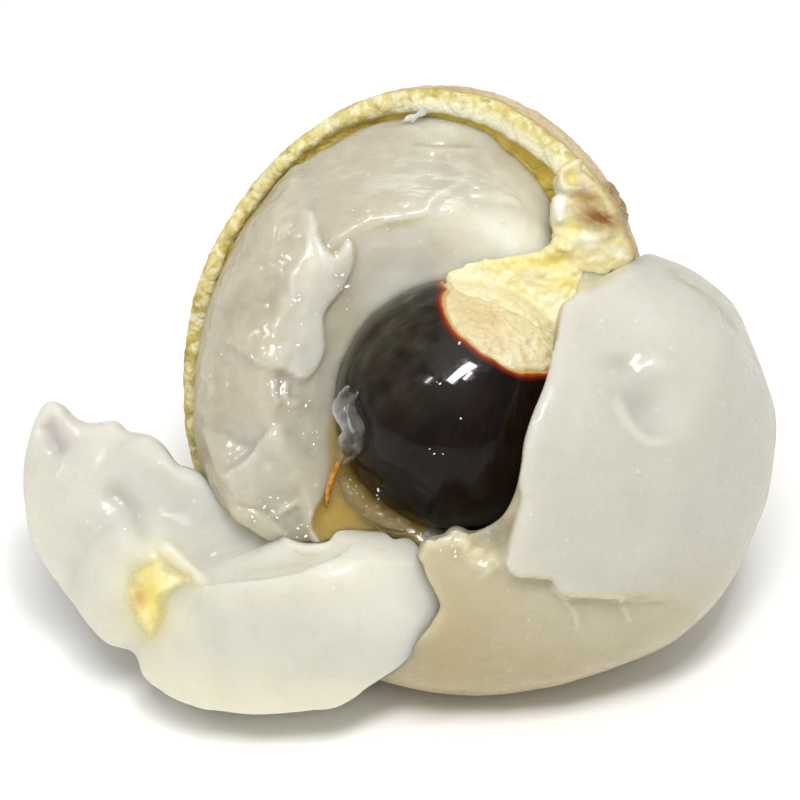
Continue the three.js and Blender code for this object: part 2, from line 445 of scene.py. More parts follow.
def cloud(tree, place, per_mm, detail, roughness=0.5):
    """A soft noise between 0 and 1, with so many lumps per millimetre."""
    inputs = {"Vector": place, "Scale": per_mm, "Detail": detail, "Roughness": roughness}
    return put(tree, "TexNoise", inputs).outputs["Fac"]


def mask(tree, name):
    return put(tree, "Attribute", attribute_name=name).outputs["Fac"]


def painted(tree, colour, tones):
    """Each mask in its tone, one over the other."""
    for name, tone in tones.items():
        colour = blend(tree, mask(tree, name), colour, tone)
    return colour


# %% A group with named inputs and outputs
def new_group(name, inputs, outputs):
    tree = bpy.data.node_groups.new(name, "ShaderNodeTree")
    for socket, kind, value in inputs:
        made = tree.interface.new_socket(name=socket, in_out="INPUT", socket_type="NodeSocket" + kind)
        if value is not None:
            made.default_value = value
    for socket, kind in outputs:
        tree.interface.new_socket(name=socket, in_out="OUTPUT", socket_type="NodeSocket" + kind)
    return tree, tree.nodes.new("NodeGroupInput").outputs, tree.nodes.new("NodeGroupOutput").inputs


def use(tree, group, inputs):
    return put(tree, "Group", inputs, node_tree=group).outputs


# %% Fibres: a noise drawn out along one direction
fibres, given, gives = new_group(
    "fibres",
    [("Position", "Vector", None), ("Stretch", "Vector", (1, 1, 1)), ("Fineness", "Float", 1.0)],
    [("Mask", "Float")],
)
drawn = put(fibres, "VectorMath", {0: given["Position"], 1: given["Stretch"]}, operation="MULTIPLY")
threads = put(
    fibres,
    "TexNoise",
    {"Vector": drawn.outputs[0], "Scale": given["Fineness"], "Detail": 4, "Distortion": 0.6},
)
fibres.links.new(ramp(fibres, threads.outputs["Fac"], 0.42, 0.68), gives["Mask"])
print("group:", fibres.name)

# %% Specks: scattered round spots of a given size
specks, given, gives = new_group(
    "specks",
    [("Position", "Vector", None), ("Per mm", "Float", 1.0), ("Size", "Float", 0.3)],
    [("Mask", "Float"), ("Shade", "Float")],
)
cells = put(specks, "TexVoronoi", {"Vector": given["Position"], "Scale": given["Per mm"]})
near_cell = math_node(specks, "DIVIDE", cells.outputs["Distance"], given["Size"])
specks.links.new(ramp(specks, near_cell, 1.0, 0.4), gives["Mask"])
cell_shade = put(specks, "SeparateColor", {0: cells.outputs["Color"]}).outputs[0]
specks.links.new(cell_shade, gives["Shade"])
print("group:", specks.name)

# %% Wet film: gentle hollows and small beads of juice, as a height and a roughness
wet, given, gives = new_group(
    "wet film",
    [("Position", "Vector", None), ("Beads per mm", "Float", 2.0), ("Dry", "Float", 0.3)],
    [("Height", "Float"), ("Roughness", "Float")],
)
swell = cloud(wet, given["Position"], 0.9, 5)
beads = ramp(wet, cloud(wet, given["Position"], given["Beads per mm"], 2), 0.60, 0.82)
wet.links.new(plus(wet, swell, times(wet, beads, 0.22)), gives["Height"])
patchy = ramp(wet, swell, 0.35, 0.65, 0.6, 1.25)
wet.links.new(times(wet, patchy, given["Dry"]), gives["Roughness"])
print("group:", wet.name)


# %% A new material with its Principled shader
def new_material(name):
    material = bpy.data.materials.new(name)
    material.use_nodes = True
    tree = material.node_tree
    return material, tree, tree.nodes["Principled BSDF"].inputs


def bump(tree, height, distance, strength):
    inputs = {"Height": height, "Distance": distance * MM, "Strength": strength}
    return put(tree, "Bump", inputs).outputs[0]


def scatter(weight, radius, depth):
    """How much light goes in, how far each colour travels, and how deep in millimetres."""
    return {
        "Subsurface Weight": weight,
        "Subsurface Radius": radius,
        "Subsurface Scale": depth * MM,
    }


# %% [markdown]
# ## The flesh's finish
#
# Longan flesh is a clear jelly with white fibres in it. Light goes a millimetre or two into it and
# comes out again, which subsurface scattering does well, and its wet skin gives small sharp
# highlights through a thin coat. The colour runs from a warm grey where the flesh is clear to
# milk white where it is torn and full of air, and to amber where juice gathers. Where the skin has
# dried, a mask makes it rougher and takes the coat away.

# %% The flesh's tones, and the masks that they are painted through
CLEAR = (0.465, 0.425, 0.325, 1)
KHAKI = (0.485, 0.433, 0.29, 1)
FLAP_WHITE = (0.59, 0.58, 0.50, 1)
WHITE = (0.72, 0.715, 0.64, 1)
BUBBLE = (0.86, 0.86, 0.84, 1)
# Besides the flesh's own colours, some masks carry painted light and shade on some pieces: the pale
# and cream tones lighten places that lie in shade, and the tan, grey and lavender tones darken hollows
# and places that turn away from the view.
FLESH_TONES = {
    "milk": (0.545, 0.53, 0.46, 1),
    "white": WHITE,
    "grey": (0.50, 0.50, 0.45, 1),
    "cream": (0.80, 0.74, 0.52, 1),
    "pale": (0.82, 0.80, 0.70, 1),
    "lavender": (0.50, 0.47, 0.45, 1),
    "yellow": (0.72, 0.65, 0.33, 1),
    "amber": (0.46, 0.31, 0.07, 1),
    "tan": (0.38, 0.28, 0.10, 1),
}


# %% Flesh
def flesh_material(name, base, stretch, coat=0.4, dry=0.24):
    material, tree, shader = new_material(name)
    place = millimetres(tree)
    colour = blend(tree, ramp(tree, cloud(tree, place, 0.28, 3), 0.35, 0.7, 0, 0.12), base, WHITE)
    threads = use(tree, fibres, {"Position": place, "Stretch": stretch, "Fineness": 1.6})["Mask"]
    streaked = times(tree, threads, ramp(tree, mask(tree, "streaks"), 0, 1, 0.03, 0.6))
    colour = painted(tree, blend(tree, streaked, colour, WHITE), FLESH_TONES)
    bubbles = use(tree, specks, {"Position": place, "Per mm": 1.1, "Size": 0.16})
    bright = times(tree, bubbles["Mask"], ramp(tree, bubbles["Shade"], 0.65, 0.8, 0, 0.25))
    film = use(tree, wet, {"Position": place, "Beads per mm": 2.2, "Dry": dry})
    height = plus(tree, film["Height"], times(tree, streaked, 0.6))
    dull = mask(tree, "dull")
    set_inputs(tree, shader, {
        "Base Color": blend(tree, bright, colour, BUBBLE),
        "Roughness": plus(tree, film["Roughness"], times(tree, dull, 0.4)),
        "Normal": bump(tree, height, 0.14, 0.5),
        "Coat Weight": ramp(tree, dull, 0, 1, coat, 0),
        "Coat Roughness": 0.08,
        "IOR": 1.38,
        **scatter(1.0, (1.0, 0.85, 0.6), 3.5),
    })
    return material


inner_finish = flesh_material("inner flesh", CLEAR, (0.35, 1.6, 1.0))
outer_finish = flesh_material("outer flesh", KHAKI, (0.5, 0.8, 1.0), coat=0.28, dry=0.32)
flap_finish = flesh_material("flap flesh", FLAP_WHITE, (0.8, 0.8, 0.8), coat=0.15, dry=0.42)
print("flesh finishes:", inner_finish.name, outer_finish.name, flap_finish.name)

# %% [markdown]
# ## Rind
#
# The rind is a brittle cup under a millimetre thick. A profile with an outer wall, a rounded torn
# edge and an inner wall is spun about the axis into a cup of revolution, and each point is then
# moved by a formula, so that the edge runs as high and as ragged as it tore. A solidified shell
# would do too, but its edge could not be painted and roughened on its own as easily.

# %% The rind's measures
RIND = {"centre": (-3.2, 15.05, 3.1), "across": 12.25, "along": 15.3, "front": 12, "back": 11.5}
RIND_LEAN = -15
WALL = 0.9
RIM_HEIGHT = 2.9  # of the torn edge above the egg's middle
RIM_TILT_TURN, RIM_DROP_TURN = math.radians(10), math.radians(255)


def rim_polar(turn):
    """The angle from the back pole to the torn edge, which is tilted, dropped below and ragged."""
    tilt = np.cos(turn - RIM_TILT_TURN)
    tilt = np.where(tilt > 0, 1.9, 3.3) * tilt
    drop = 5 * np.maximum(0, np.cos(turn - RIM_DROP_TURN)) ** 1.5
    ragged = 0.25 * np.sin(5 * turn + 0.6) + 0.15 * np.sin(11 * turn)
    fine = 0.07 * np.sin(23 * turn + 1) + 0.06 * np.sin(41 * turn) + 0.04 * np.sin(67 * turn + 2)
    return np.arccos(-(RIM_HEIGHT + tilt - drop + ragged + fine) / RIND["front"])


def on_egg(shape, leaning, at_turn, at_polar):
    """A point on an egg, by its turn about the axis and its angle from the back pole."""
    t, p = math.radians(at_turn), math.radians(at_polar)
    x = shape["across"] * math.sin(p) * math.cos(t)
    y = shape["along"] * math.sin(p) * math.sin(t)
    z = -shape["front"] * math.cos(p)
    c, s = math.cos(math.radians(leaning)), math.sin(math.radians(leaning))
    return np.array(shape["centre"]) + (x * c - y * s, x * s + y * c, z)


# %% Spin the cup
CUP_TURNS = 420
CUP_ROWS = 64
EDGE_ROWS = 6
EDGE_BOW = 1.6  # degrees that the rounded edge stands past the walls
THIN = 0.1  # the wall of the cup before it is drawn out

profile = [(1, 90 * row / CUP_ROWS) for row in range(CUP_ROWS + 1)]
for row in range(1, EDGE_ROWS):
    bow = math.pi * row / EDGE_ROWS
    profile.append((1 - THIN / 2 + THIN / 2 * math.cos(bow), 90 + EDGE_BOW * math.sin(bow)))
profile += [(1 - THIN, 90 * row / CUP_ROWS) for row in range(CUP_ROWS, -1, -1)]
cup = bmesh.new()
line = [
    cup.verts.new((r * math.sin(math.radians(a)), 0, -r * math.cos(math.radians(a))))
    for r, a in profile
]
for first, second in zip(line, line[1:]):
    cup.edges.new((first, second))
bmesh.ops.spin(
    cup,
    geom=cup.verts[:] + cup.edges[:],
    cent=(0, 0, 0),
    axis=(0, 0, 1),
    angle=2 * math.pi,
    steps=CUP_TURNS,
    use_merge=True,
)
bmesh.ops.remove_doubles(cup, verts=cup.verts, dist=1e-6)
bmesh.ops.recalc_face_normals(cup, faces=cup.faces)
rind = to_object("rind", cup)
print("cup:", len(rind.data.vertices), "points")

# %% Draw it out to the fruit's shape
clay = Clay(rind)
radius = np.linalg.norm(clay.points, axis=1)
polar = np.arccos(np.clip(-clay.z / radius, -1, 1))
turn = np.arctan2(clay.y, clay.x)
share = polar / math.radians(90)  # 0 at the back pole and 1 at the torn edge
depth_share = np.clip((1 - radius) / THIN, 0, 1)  # 0 on the outer wall and 1 on the inner one
edge = rise(share, 0.975, 1.0)
lumps = uneven(np.stack([9 * np.cos(turn), 9 * np.sin(turn), 3 * share], 1), 1.1, 1)
wider = 0.5 * rise(np.cos(turn - math.radians(55)), 0.2, 0.9) * rise(share, 0.8, 1)
thick = WALL * (1 + 0.12 * lumps * rise(share, 0.7, 1)) + wider
upper = rise(np.cos(turn - math.radians(90)), -0.35, 0.3)
slope = 1.9 * rise(1 - share, 0.004, 0.085) * rise(share, 0.4, 0.7) * upper
inward = depth_share * (thick + slope)
angle = share * rim_polar(turn) + 0.012 * lumps * edge
drawn_out = np.stack(
    [
        (RIND["across"] - inward) * np.sin(angle) * np.cos(turn),
        (RIND["along"] - inward) * np.sin(angle) * np.sin(turn),
        -(RIND["front"] - inward) * np.cos(angle),
    ],
    1,
)
drawn_out[:, 2] *= np.where(drawn_out[:, 2] < 0, RIND["back"] / RIND["front"], 1)
lean = math.radians(RIND_LEAN)
x, y = drawn_out[:, 0].copy(), drawn_out[:, 1].copy()
drawn_out[:, 0] = x * math.cos(lean) - y * math.sin(lean)
drawn_out[:, 1] = x * math.sin(lean) + y * math.cos(lean)
clay.points = drawn_out + RIND["centre"]
clay.look()

# %% Its skin is finely pebbled outside, smooth inside and torn at the edge
outside = rise(1 - depth_share, 0.6, 1.0)
clay.push(0.07 * clay.uneven(0.55, 2) * outside * (1 - edge), everywhere=True)
clay.push(0.06 * clay.uneven(0.35, 3) * edge, everywhere=True)
clay.push(0.05 * clay.uneven(2.5, 4), everywhere=True)
clay.look()

# %% The stem's ring and its pit
STEM_TURN, STEM_POLAR = 49, 105
STEM = on_egg(RIND, RIND_LEAN, STEM_TURN, STEM_POLAR)
from_stem = np.linalg.norm(clay.points - STEM, axis=1) + 0.15 * clay.uneven(0.8, 21)
collar = np.exp(-(((from_stem - 0.95) / 0.35) ** 2))
pit = np.exp(-((from_stem / 0.6) ** 2))
clay.push((0.42 * collar - 0.25 * pit) * outside, everywhere=True)
clay.look()

# %% Masks for the rind's zones
EDGE_START = 0.985  # as a share of the way from the back pole
past_edge = rise(share, EDGE_START, 1.0)
upper_right = rise(np.cos(turn - math.radians(70)), 0.2, 0.8)
to_edge = share + 0.016 * upper_right * rise(0.6 - depth_share, 0, 0.3)
clay.paint(
    inside=rise(depth_share, 0.6, 0.95) * (1 - past_edge),
    edge=rise(to_edge, EDGE_START, 1.0),
    pith=rise(depth_share, 0.35, 0.6) * past_edge * rise(clay.x, -6, -2),
    lip=rise(0.2 - depth_share, 0, 0.15) * rise(to_edge, EDGE_START, 1.0) * (1 - past_edge),
    stem=(0.9 * pit + 0.45 * collar) * outside,
)

# %% Take away what would run through the outer flesh
OUTER_FLESH = {"centre": (1.6, 9.95, 4.6), "across": 14.3, "along": 11.5, "front": 9.2, "back": 9.7}
OUTER_LEAN = 17
combine(rind, "DIFFERENCE", egg(**OUTER_FLESH, lean=OUTER_LEAN, grow=0.1, detail=6))
print("rind after the cut:", len(rind.data.vertices), "points")

# %% [markdown]
# The outside is tan with darker patches, a net of fine lines, brown speckles and golden grains. The
# inner wall is a smooth mustard, and the torn edge olive and cream where the fibres show. The masks
# painted on the cup keep these zones apart.

# %% The rind's tones
TAN_DARK, TAN_LIGHT = (0.61, 0.45, 0.23, 1), (0.84, 0.71, 0.48, 1)
PATCH = (0.46, 0.29, 0.12, 1)
NET_LINE = (0.40, 0.25, 0.10, 1)
SPECKLE = (0.33, 0.18, 0.07, 1)
GOLDEN = (0.78, 0.60, 0.28, 1)
OLIVE_LIGHT, OLIVE_DARK = (0.63, 0.55, 0.215, 1), (0.46, 0.36, 0.075, 1)
CREAM_SPOT = (0.84, 0.81, 0.56, 1)
EDGE_TONES = {"pith": (0.83, 0.80, 0.58, 1), "lip": (0.50, 0.36, 0.11, 1)}
MUSTARD_DARK, MUSTARD_LIGHT = (0.64, 0.47, 0.07, 1), (0.70, 0.56, 0.13, 1)
WOOD = (0.17, 0.07, 0.015, 1)

# %% Rind finish
rind_finish, tree, shader = new_material("rind")
place = millimetres(tree)
tan = blend(tree, cloud(tree, place, 0.9, 4), TAN_DARK, TAN_LIGHT)
patches = ramp(tree, cloud(tree, place, 0.45, 4, 0.7), 0.48, 0.68, 0, 0.6)
tan = blend(tree, patches, tan, PATCH)
warped = put(tree, "TexNoise", {"Vector": place, "Scale": 1.2, "Detail": 2}).outputs["Color"]
warped = put(tree, "VectorMath", {0: warped, 3: 0.8}, operation="SCALE").outputs[0]
warped = put(tree, "VectorMath", {0: place, 1: warped}, operation="ADD").outputs[0]
cells = put(tree, "TexVoronoi", {"Vector": warped, "Scale": 0.75}, feature="DISTANCE_TO_EDGE")
net = cells.outputs["Distance"]
tan = blend(tree, ramp(tree, net, 0.10, 0.0, 0, 0.28), tan, NET_LINE)
grains = use(tree, specks, {"Position": warped, "Per mm": 2.6, "Size": 0.40})
for start, end, most, tone in ((0.62, 0.75, 0.55, SPECKLE), (0.40, 0.25, 0.7, GOLDEN)):
    some = ramp(tree, grains["Shade"], start, end, 0, most)
    tan = blend(tree, times(tree, grains["Mask"], some), tan, tone)
mottle = cloud(tree, place, 1.1, 3, 0.6)
cream = blend(tree, ramp(tree, mottle, 0.44, 0.64), OLIVE_LIGHT, OLIVE_DARK)
cream_spots = ramp(tree, cloud(tree, place, 1.9, 3), 0.44, 0.66, 0, 0.7)
cream = painted(tree, blend(tree, cream_spots, cream, CREAM_SPOT), EDGE_TONES)
mustard = blend(tree, ramp(tree, mottle, 0.3, 0.7), MUSTARD_DARK, MUSTARD_LIGHT)
fine = cloud(tree, place, 5, 4)
skin_height = plus(tree, fine, ramp(tree, net, 0.0, 0.16, 0, 0.6))
set_inputs(tree, shader, {
    "Base Color": painted(tree, tan, {"inside": mustard, "edge": cream, "stem": WOOD}),
    "Roughness": ramp(tree, fine, 0.3, 0.7, 0.45, 0.75),
    "Normal": bump(tree, skin_height, 0.14, 0.6),
    **scatter(0.2, (1.0, 0.7, 0.3), 0.5),
})
finish(rind, ["shell"], rind_finish)

# %% [markdown]
# ## Seed
#
# The seed is a hard glossy ball. Its pale round scar, the hilum, is where it was fed from, and the
# coat turns from black through deep red to orange just round it. A ball with a few shallow hollows
# is enough of a form: the streaks that run away from the scar are what make it look like a seed.

# %% Seed
SEED_CENTRE = Vector((-0.8, 13.4, 7.1))
SEED_RADIUS = 6.5
HILUM_AXIS = Vector((0.42, 0.73, 0.54)).normalized()
HILUM_SPREAD = 33
UPPER_AXIS = Vector((0.45, 0.88, 0.12)).normalized()
UPPER_SPREAD = 36
QUARTER_TURN = 90


def from_scar(points):
    """Angle from the scar's middle: it is made of two round patches, one behind the other."""
    away = points - np.array(SEED_CENTRE)
    away /= np.linalg.norm(away, axis=1)[:, None]
    to_hilum, to_upper = (
        np.degrees(np.arccos(np.clip(away @ np.array(axis), -1, 1)))
        for axis in (HILUM_AXIS, UPPER_AXIS)
    )
    wander = 1.6 * uneven(points, 2.4, 6) + 0.5 * uneven(points, 0.7, 26)
    return np.minimum(to_hilum, to_upper * HILUM_SPREAD / UPPER_SPREAD) + wander


seed = ball(SEED_CENTRE, SEED_RADIUS, detail=7)
seed.name = "seed_coat"
clay = Clay(seed)
scar = from_scar(clay.points)
clay.push(0.09 * clay.uneven(3.2, 5) - 0.03, everywhere=True)
clay.push(-0.35 * (1 - rise(scar, HILUM_SPREAD - 3, HILUM_SPREAD)), everywhere=True)
clay.look()
clay.paint(
    scar=scar / QUARTER_TURN,
    haze=0.85 * clay.spot((-4.2, 17.2), 2.8, 4.2, -25) * (0.85 + 0.9 * clay.uneven(1.1, 22)),
    wet=clay.spot((-1.0, 15.0), 2.3, 1.4, 48),
)
print("seed:", len(clay.points), "points")

# %% A frame turned to the scar: streaks that run away from it
def around_scar(tree, place):
    """The turn about the scar's axis, as a sine and a cosine, and a little of the height."""
    world_axis = (TO_WORLD.to_3x3() @ HILUM_AXIS).normalized()
    turned = Vector((0, 0, 1)).rotation_difference(world_axis).to_euler()
    middle = (TO_WORLD @ SEED_CENTRE) / MM
    moved = put(tree, "VectorMath", {0: place, 1: middle}, operation="SUBTRACT").outputs[0]
    back = put(tree, "VectorRotate", {0: moved}, rotation_type="EULER_XYZ", invert=True)
    back.inputs["Rotation"].default_value = turned
    across, along, height = put(tree, "SeparateXYZ", {0: back.outputs[0]}).outputs
    around = math_node(tree, "ARCTAN2", along, across)
    parts = {
        0: math_node(tree, "SINE", around),
        1: math_node(tree, "COSINE", around),
        2: times(tree, height, 0.05),
    }
    return put(tree, "CombineXYZ", parts).outputs[0]


# %% Seed finish
BLACK, BROWN_BLACK = (0.004, 0.0015, 0.001, 1), (0.010, 0.005, 0.003, 1)
STREAK = (0.014, 0.008, 0.005, 1)
OLIVE_HAZE = (0.044, 0.037, 0.023, 1)
SCAR_EDGE = HILUM_SPREAD / 90
RINGS = [  # from a share of a quarter turn outside the scar's edge, to one nearer in
    (0.042, 0.016, (0.11, 0.008, 0.003, 1)),
    (0.020, 0.004, (0.27, 0.045, 0.008, 1)),
    (0.006, -0.012, (0.62, 0.38, 0.12, 1)),
]
seed_finish, tree, shader = new_material("seed coat")
place = millimetres(tree)
streak = cloud(tree, around_scar(tree, place), 15, 6, 0.65)
uneven_black = ramp(tree, cloud(tree, place, 0.35, 2), 0.4, 0.65, 0, 0.8)
colour = blend(tree, uneven_black, BLACK, BROWN_BLACK)
colour = blend(tree, ramp(tree, streak, 0.5, 0.64, 0, 0.4), colour, STREAK)
# A lighter olive haze over the upper left of the seed, along its streaks.
hazy = times(tree, mask(tree, "haze"), ramp(tree, streak, 0.34, 0.60, 0.6, 1.0))
colour = blend(tree, hazy, colour, OLIVE_HAZE)
scar = mask(tree, "scar")
for start, end, tone in RINGS:
    colour = blend(tree, ramp(tree, scar, SCAR_EDGE + start, SCAR_EDGE + end), colour, tone)
film = use(tree, wet, {"Position": place, "Beads per mm": 1.6, "Dry": 0.07})
relief = plus(tree, times(tree, streak, 0.30), times(tree, film["Height"], 0.7))
set_inputs(tree, shader, {
    "Base Color": colour,
    "Roughness": film["Roughness"],
    "Normal": bump(tree, relief, 0.14, 0.28),
    "Coat Weight": mask(tree, "wet"),
    "Coat Roughness": 0.04,
    "Specular IOR Level": 0.17,
    "IOR": 1.48,
})
seed_clay = clay
finish(seed, ["seed"], seed_finish)

# %% Hilum: a grainy disc that fills the seed's hollow, and runs on into the tuft above it
TUFT = (0.76, 0.69, 0.42, 1)
TUFT_EDGE = [
    (-1.5, 19.6), (-0.8, 18.9), (0.2, 18.6), (1.4, 18.1), (2.6, 17.5), (3.9, 16.6), (4.6, 17.0),
]
DISC_START = 3.0  # from the seed's middle
hilum = ball(SEED_CENTRE, SEED_RADIUS - 0.10, detail=7)
hilum.name = "hilum_disc"
disc = bmesh.new()
disc.from_mesh(hilum.data)
bmesh.ops.bisect_plane(
    disc,
    geom=disc.verts[:] + disc.edges[:] + disc.faces[:],
    plane_co=SEED_CENTRE + (HILUM_AXIS + UPPER_AXIS).normalized() * DISC_START,
    plane_no=HILUM_AXIS + UPPER_AXIS,
    clear_inner=True,
)
cut = [edge for edge in disc.edges if edge.is_boundary]
bmesh.ops.contextual_create(disc, geom=cut)
disc.to_mesh(hilum.data)
disc.free()
clay = Clay(hilum)
on_scar = 1 - rise(from_scar(clay.points), HILUM_SPREAD - 2.5, HILUM_SPREAD + 1)
grain = 0.10 * clay.uneven(1.1, 7) + 0.09 * clay.uneven(0.35, 8)
clay.push(on_scar * grain, everywhere=True)
clay.push(-0.5 * (1 - on_scar), everywhere=True)
clay.look()
clay.paint(
    tuft=0.95 * clay.band(TUFT_EDGE, 1.4),
    peach=0.6 * clay.spot((-0.4, 18.4), 1.2, 1.8, 30) + 0.4 * clay.spot((0.9, 17.7), 0.8, 0.6),
)

# %% Hilum finish
HILUM_DARK, HILUM_LIGHT = (0.64, 0.52, 0.28, 1), (0.72, 0.67, 0.46, 1)
HILUM_THREAD = (0.76, 0.72, 0.54, 1)
HILUM_PIT = (0.62, 0.38, 0.16, 1)
PEACH = (0.58, 0.43, 0.20, 1)
hilum_finish, tree, shader = new_material("hilum")
place = millimetres(tree)
blotch = cloud(tree, place, 0.8, 4)
colour = blend(tree, ramp(tree, blotch, 0.38, 0.62), HILUM_DARK, HILUM_LIGHT)
thread = use(tree, fibres, {"Position": place, "Stretch": (0.6, 1.6, 1.6), "Fineness": 2.2})["Mask"]
colour = blend(tree, times(tree, thread, 0.6), colour, HILUM_THREAD)
colour = painted(tree, colour, {"tuft": TUFT, "peach": PEACH})
pit = use(tree, specks, {"Position": place, "Per mm": 2.5, "Size": 0.3})["Mask"]
set_inputs(tree, shader, {
    "Base Color": blend(tree, times(tree, pit, 0.35), colour, HILUM_PIT),
    "Roughness": ramp(tree, blotch, 0.3, 0.7, 0.35, 0.7),
    "Normal": bump(tree, thread, 0.12, 0.4),
    **scatter(0.4, (1.0, 0.6, 0.3), 0.6),
})
finish(hilum, ["hilum"], hilum_finish)

# %% [markdown]
# ## Room for the flap
#
# A flap of flesh has come off the fruit and leans against it. Its lobes are needed before the rest
# of the flesh, which leaves the room that the flap lies in.

# %% The flap's lobes and its torn outline
FLAP_LOBES = [
    {"centre": (-8.8, 1.5, 6.0), "across": 9.2, "along": 5.3, "front": 4.3, "back": 4.2, "lean": 14},
    {"centre": (-19.2, 6.6, 3.4), "across": 5, "along": 7.2, "front": 2.2, "back": 2.4, "lean": 6},
    {"centre": (-12.6, 6.2, 4.8), "across": 8.6, "along": 4.6, "front": 1.3, "back": 1.5, "lean": -26},
    {"centre": (-16.9, 3.4, 4.8), "across": 4.2, "along": 4.8, "front": 2.5, "back": 2.6, "lean": 0},
    {"centre": (-21.5, 11.4, 3.2), "across": 2.6, "along": 3.6, "front": 1.7, "back": 1.9, "lean": 5},
]
FLAP_OUTLINE = [
    (-23.3, 11.5), (-22.9, 12.7), (-22.5, 13.4), (-22.05, 13.5), (-21.6, 13.2), (-21.1, 12.6),
    (-20.2, 12.3), (-18.9, 12.4), (-18.3, 11.9), (-17.2, 11.7), (-16.3, 11.0), (-15.6, 10.2),
    (-14.6, 9.8), (-13.0, 8.3), (-11.6, 7.5), (-10.4, 6.7), (-9, 6.2), (-7.6, 6.3), (-7.0, 6.8),
    (-5.6, 6.8), (-4.7, 6.8), (-4.3, 6.4), (-3.4, 6.5), (-2.6, 5.4), (-2.4, 4.7), (-1.7, 3.5),
    (-1.6, 3.0), (-2.0, 2.2), (-3.0, 1.0), (-4.6, -0.4), (-6.9, -1.9), (-8.7, -2.3), (-10.8, -2.4),
    (-13.2, -2.3), (-15.4, -1.7), (-17.1, -0.7), (-17.4, -0.2), (-17.5, 0.7), (-18.5, 0.85),
    (-19.4, 1.3), (-21.4, 3.7), (-22.8, 5.8), (-23.4, 7.7), (-23.5, 9.9),
]


def flap_lobes(grow=0):
    lobes = [egg(**lobe, grow=grow) for lobe in FLAP_LOBES]
    return combine(lobes[0], "UNION", *lobes[1:])


def flap_room():
    """The flap itself, and all that would stand in front of it."""
    bed = combine(flap_lobes(0.05), "INTERSECT", column(widened(FLAP_OUTLINE, 0.02), -30, 30))
    return combine(bed, "UNION", column(widened(FLAP_OUTLINE, -0.25), 3.2, 30))


# %% [markdown]
# ## Inner flesh
#
# The inner flesh lines the rind, rolls over and slopes down to the seed like the side of a bowl.
# On the left it is torn in layers. It could be sculpted from one ball, but would then cut through
# its neighbours here and there. So a few eggs are joined and cut to the inside of the rind, the bowl
# and the seed are taken out, and the strokes draw the rest.

# %% Form: eggs joined, with the bowl, the seed and the flap's room taken out
INNER_FLESH = {"centre": (-5.15, 17.05, 4.0), "across": 9.0, "along": 12.25, "front": 5.9, "back": 11}
INNER_LEAN = -31
BOWL_CENTRE = (-0.8, 13.4, 27.4)
BOWL_RADIUS = 21.1
VOXEL = 0.19

POOL = [
    (-6.2, 15.6), (-7.7, 15.3), (-7.4, 14.0), (-7.7, 12.2), (-7.5, 10.5), (-7.7, 9.0),
    (-8.4, 7.0), (-6.5, 5.2), (-3.5, 5.6), (-2.5, 7.5), (-4.5, 10.5), (-5.0, 14.0),
]
inner = egg(**INNER_FLESH, lean=INNER_LEAN)
combine(
    inner,
    "UNION",
    egg((-5.0, 8.0, 5.4), 5.5, 4.2, 4.6, 5, lean=-30),
    egg((-9.8, 9.6, 4.0), 6.2, 5.2, 4.4, 5, lean=-20),
    egg((-8.6, 19.5, 4.0), 5.6, 6.6, 5.0, 8, lean=25),
)
combine(inner, "INTERSECT", egg(**RIND, lean=RIND_LEAN, grow=-WALL - 0.02))
combine(
    inner,
    "DIFFERENCE",
    ball(BOWL_CENTRE, BOWL_RADIUS, detail=7),
    column(POOL, 7.6, 30),
    ball(SEED_CENTRE, SEED_RADIUS - 0.12),
    flap_room(),
)
skin(inner, "inner_flesh", VOXEL, softness=6)
print("inner flesh:", len(inner.data.vertices), "points")

# %% Torn lobe of white flesh, creases and layers
TORN_LOBE = [
    (-8.45, 23.3), (-8.2, 22.4), (-7.9, 21.6), (-7.3, 21.1), (-6.55, 21.8), (-6.35, 21.1),
    (-6.4, 20.5), (-6.9, 19.5), (-7.9, 18.0), (-7.9, 16.1), (-8.7, 14.8), (-9.8, 15.1),
    (-11.1, 16.1), (-11.1, 17.3), (-10.8, 18.8), (-10.2, 20.4), (-9.0, 23.1),
]
clay = Clay(inner)
lobe = clay.inside(TORN_LOBE, 0.11) * rise(clay.x - 0.24 * (clay.y - 15.5), -11.3, -9.4)
clay.push(0.38 * lobe)
clay.draw(
    ([(-8.6, 22.8), (-8.7, 21.3), (-9.4, 19.8), (-9.4, 18.2)], 0.14, 0.2),
    ([(-8.1, 22.2), (-7.9, 20.9), (-7.2, 20.2), (-6.7, 19.9)], 0.14, 0.14),
    ([(-3.6, 27.1), (-2.3, 26.8), (-0.8, 26.8), (0.4, 27.0)], 0.16, -0.16),
    ([(-3.6, 26.8), (-2.3, 26.5), (-0.8, 26.5), (0.4, 26.7)], 0.18, 0.10),
    ([(-5.7, 22.9), (-4.5, 22.9), (-2.7, 23.3), (-2.2, 24.0), (-0.7, 24.8), (0.2, 24.6)], 0.22, 0.20),
    ([(-0.5, 24.2), (0.6, 24.0), (1.9, 23.9), (2.5, 23.2)], 0.2, 0.18),
    ([(-9.2, 25.2), (-10.2, 24.3), (-11.1, 23.4), (-11.7, 21.9)], 0.12, -0.09),
    ([(-10.0, 24.9), (-11.1, 24.0), (-11.9, 22.9)], 0.12, -0.08),
)
clay.ledge([(-13.2, 16.8), (-11.9, 16.1), (-11.3, 15.6), (-10.4, 15.2), (-9.6, 14.9)], 0.3, 0.12, 1.6)
clay.draw(
    ([(-10.3, 14.8), (-10.5, 14.0), (-10.1, 13.3)], 0.14, 0.22),
    ([(-9.6, 14.8), (-9.9, 14.0), (-9.6, 13.5), (-8.9, 13.5)], 0.14, 0.22),
)
clay.ledge([(-10.1, 12.6), (-11.1, 11.5), (-12.0, 10.4), (-13.5, 9.6)], 0.35, 0.15, 2.2)
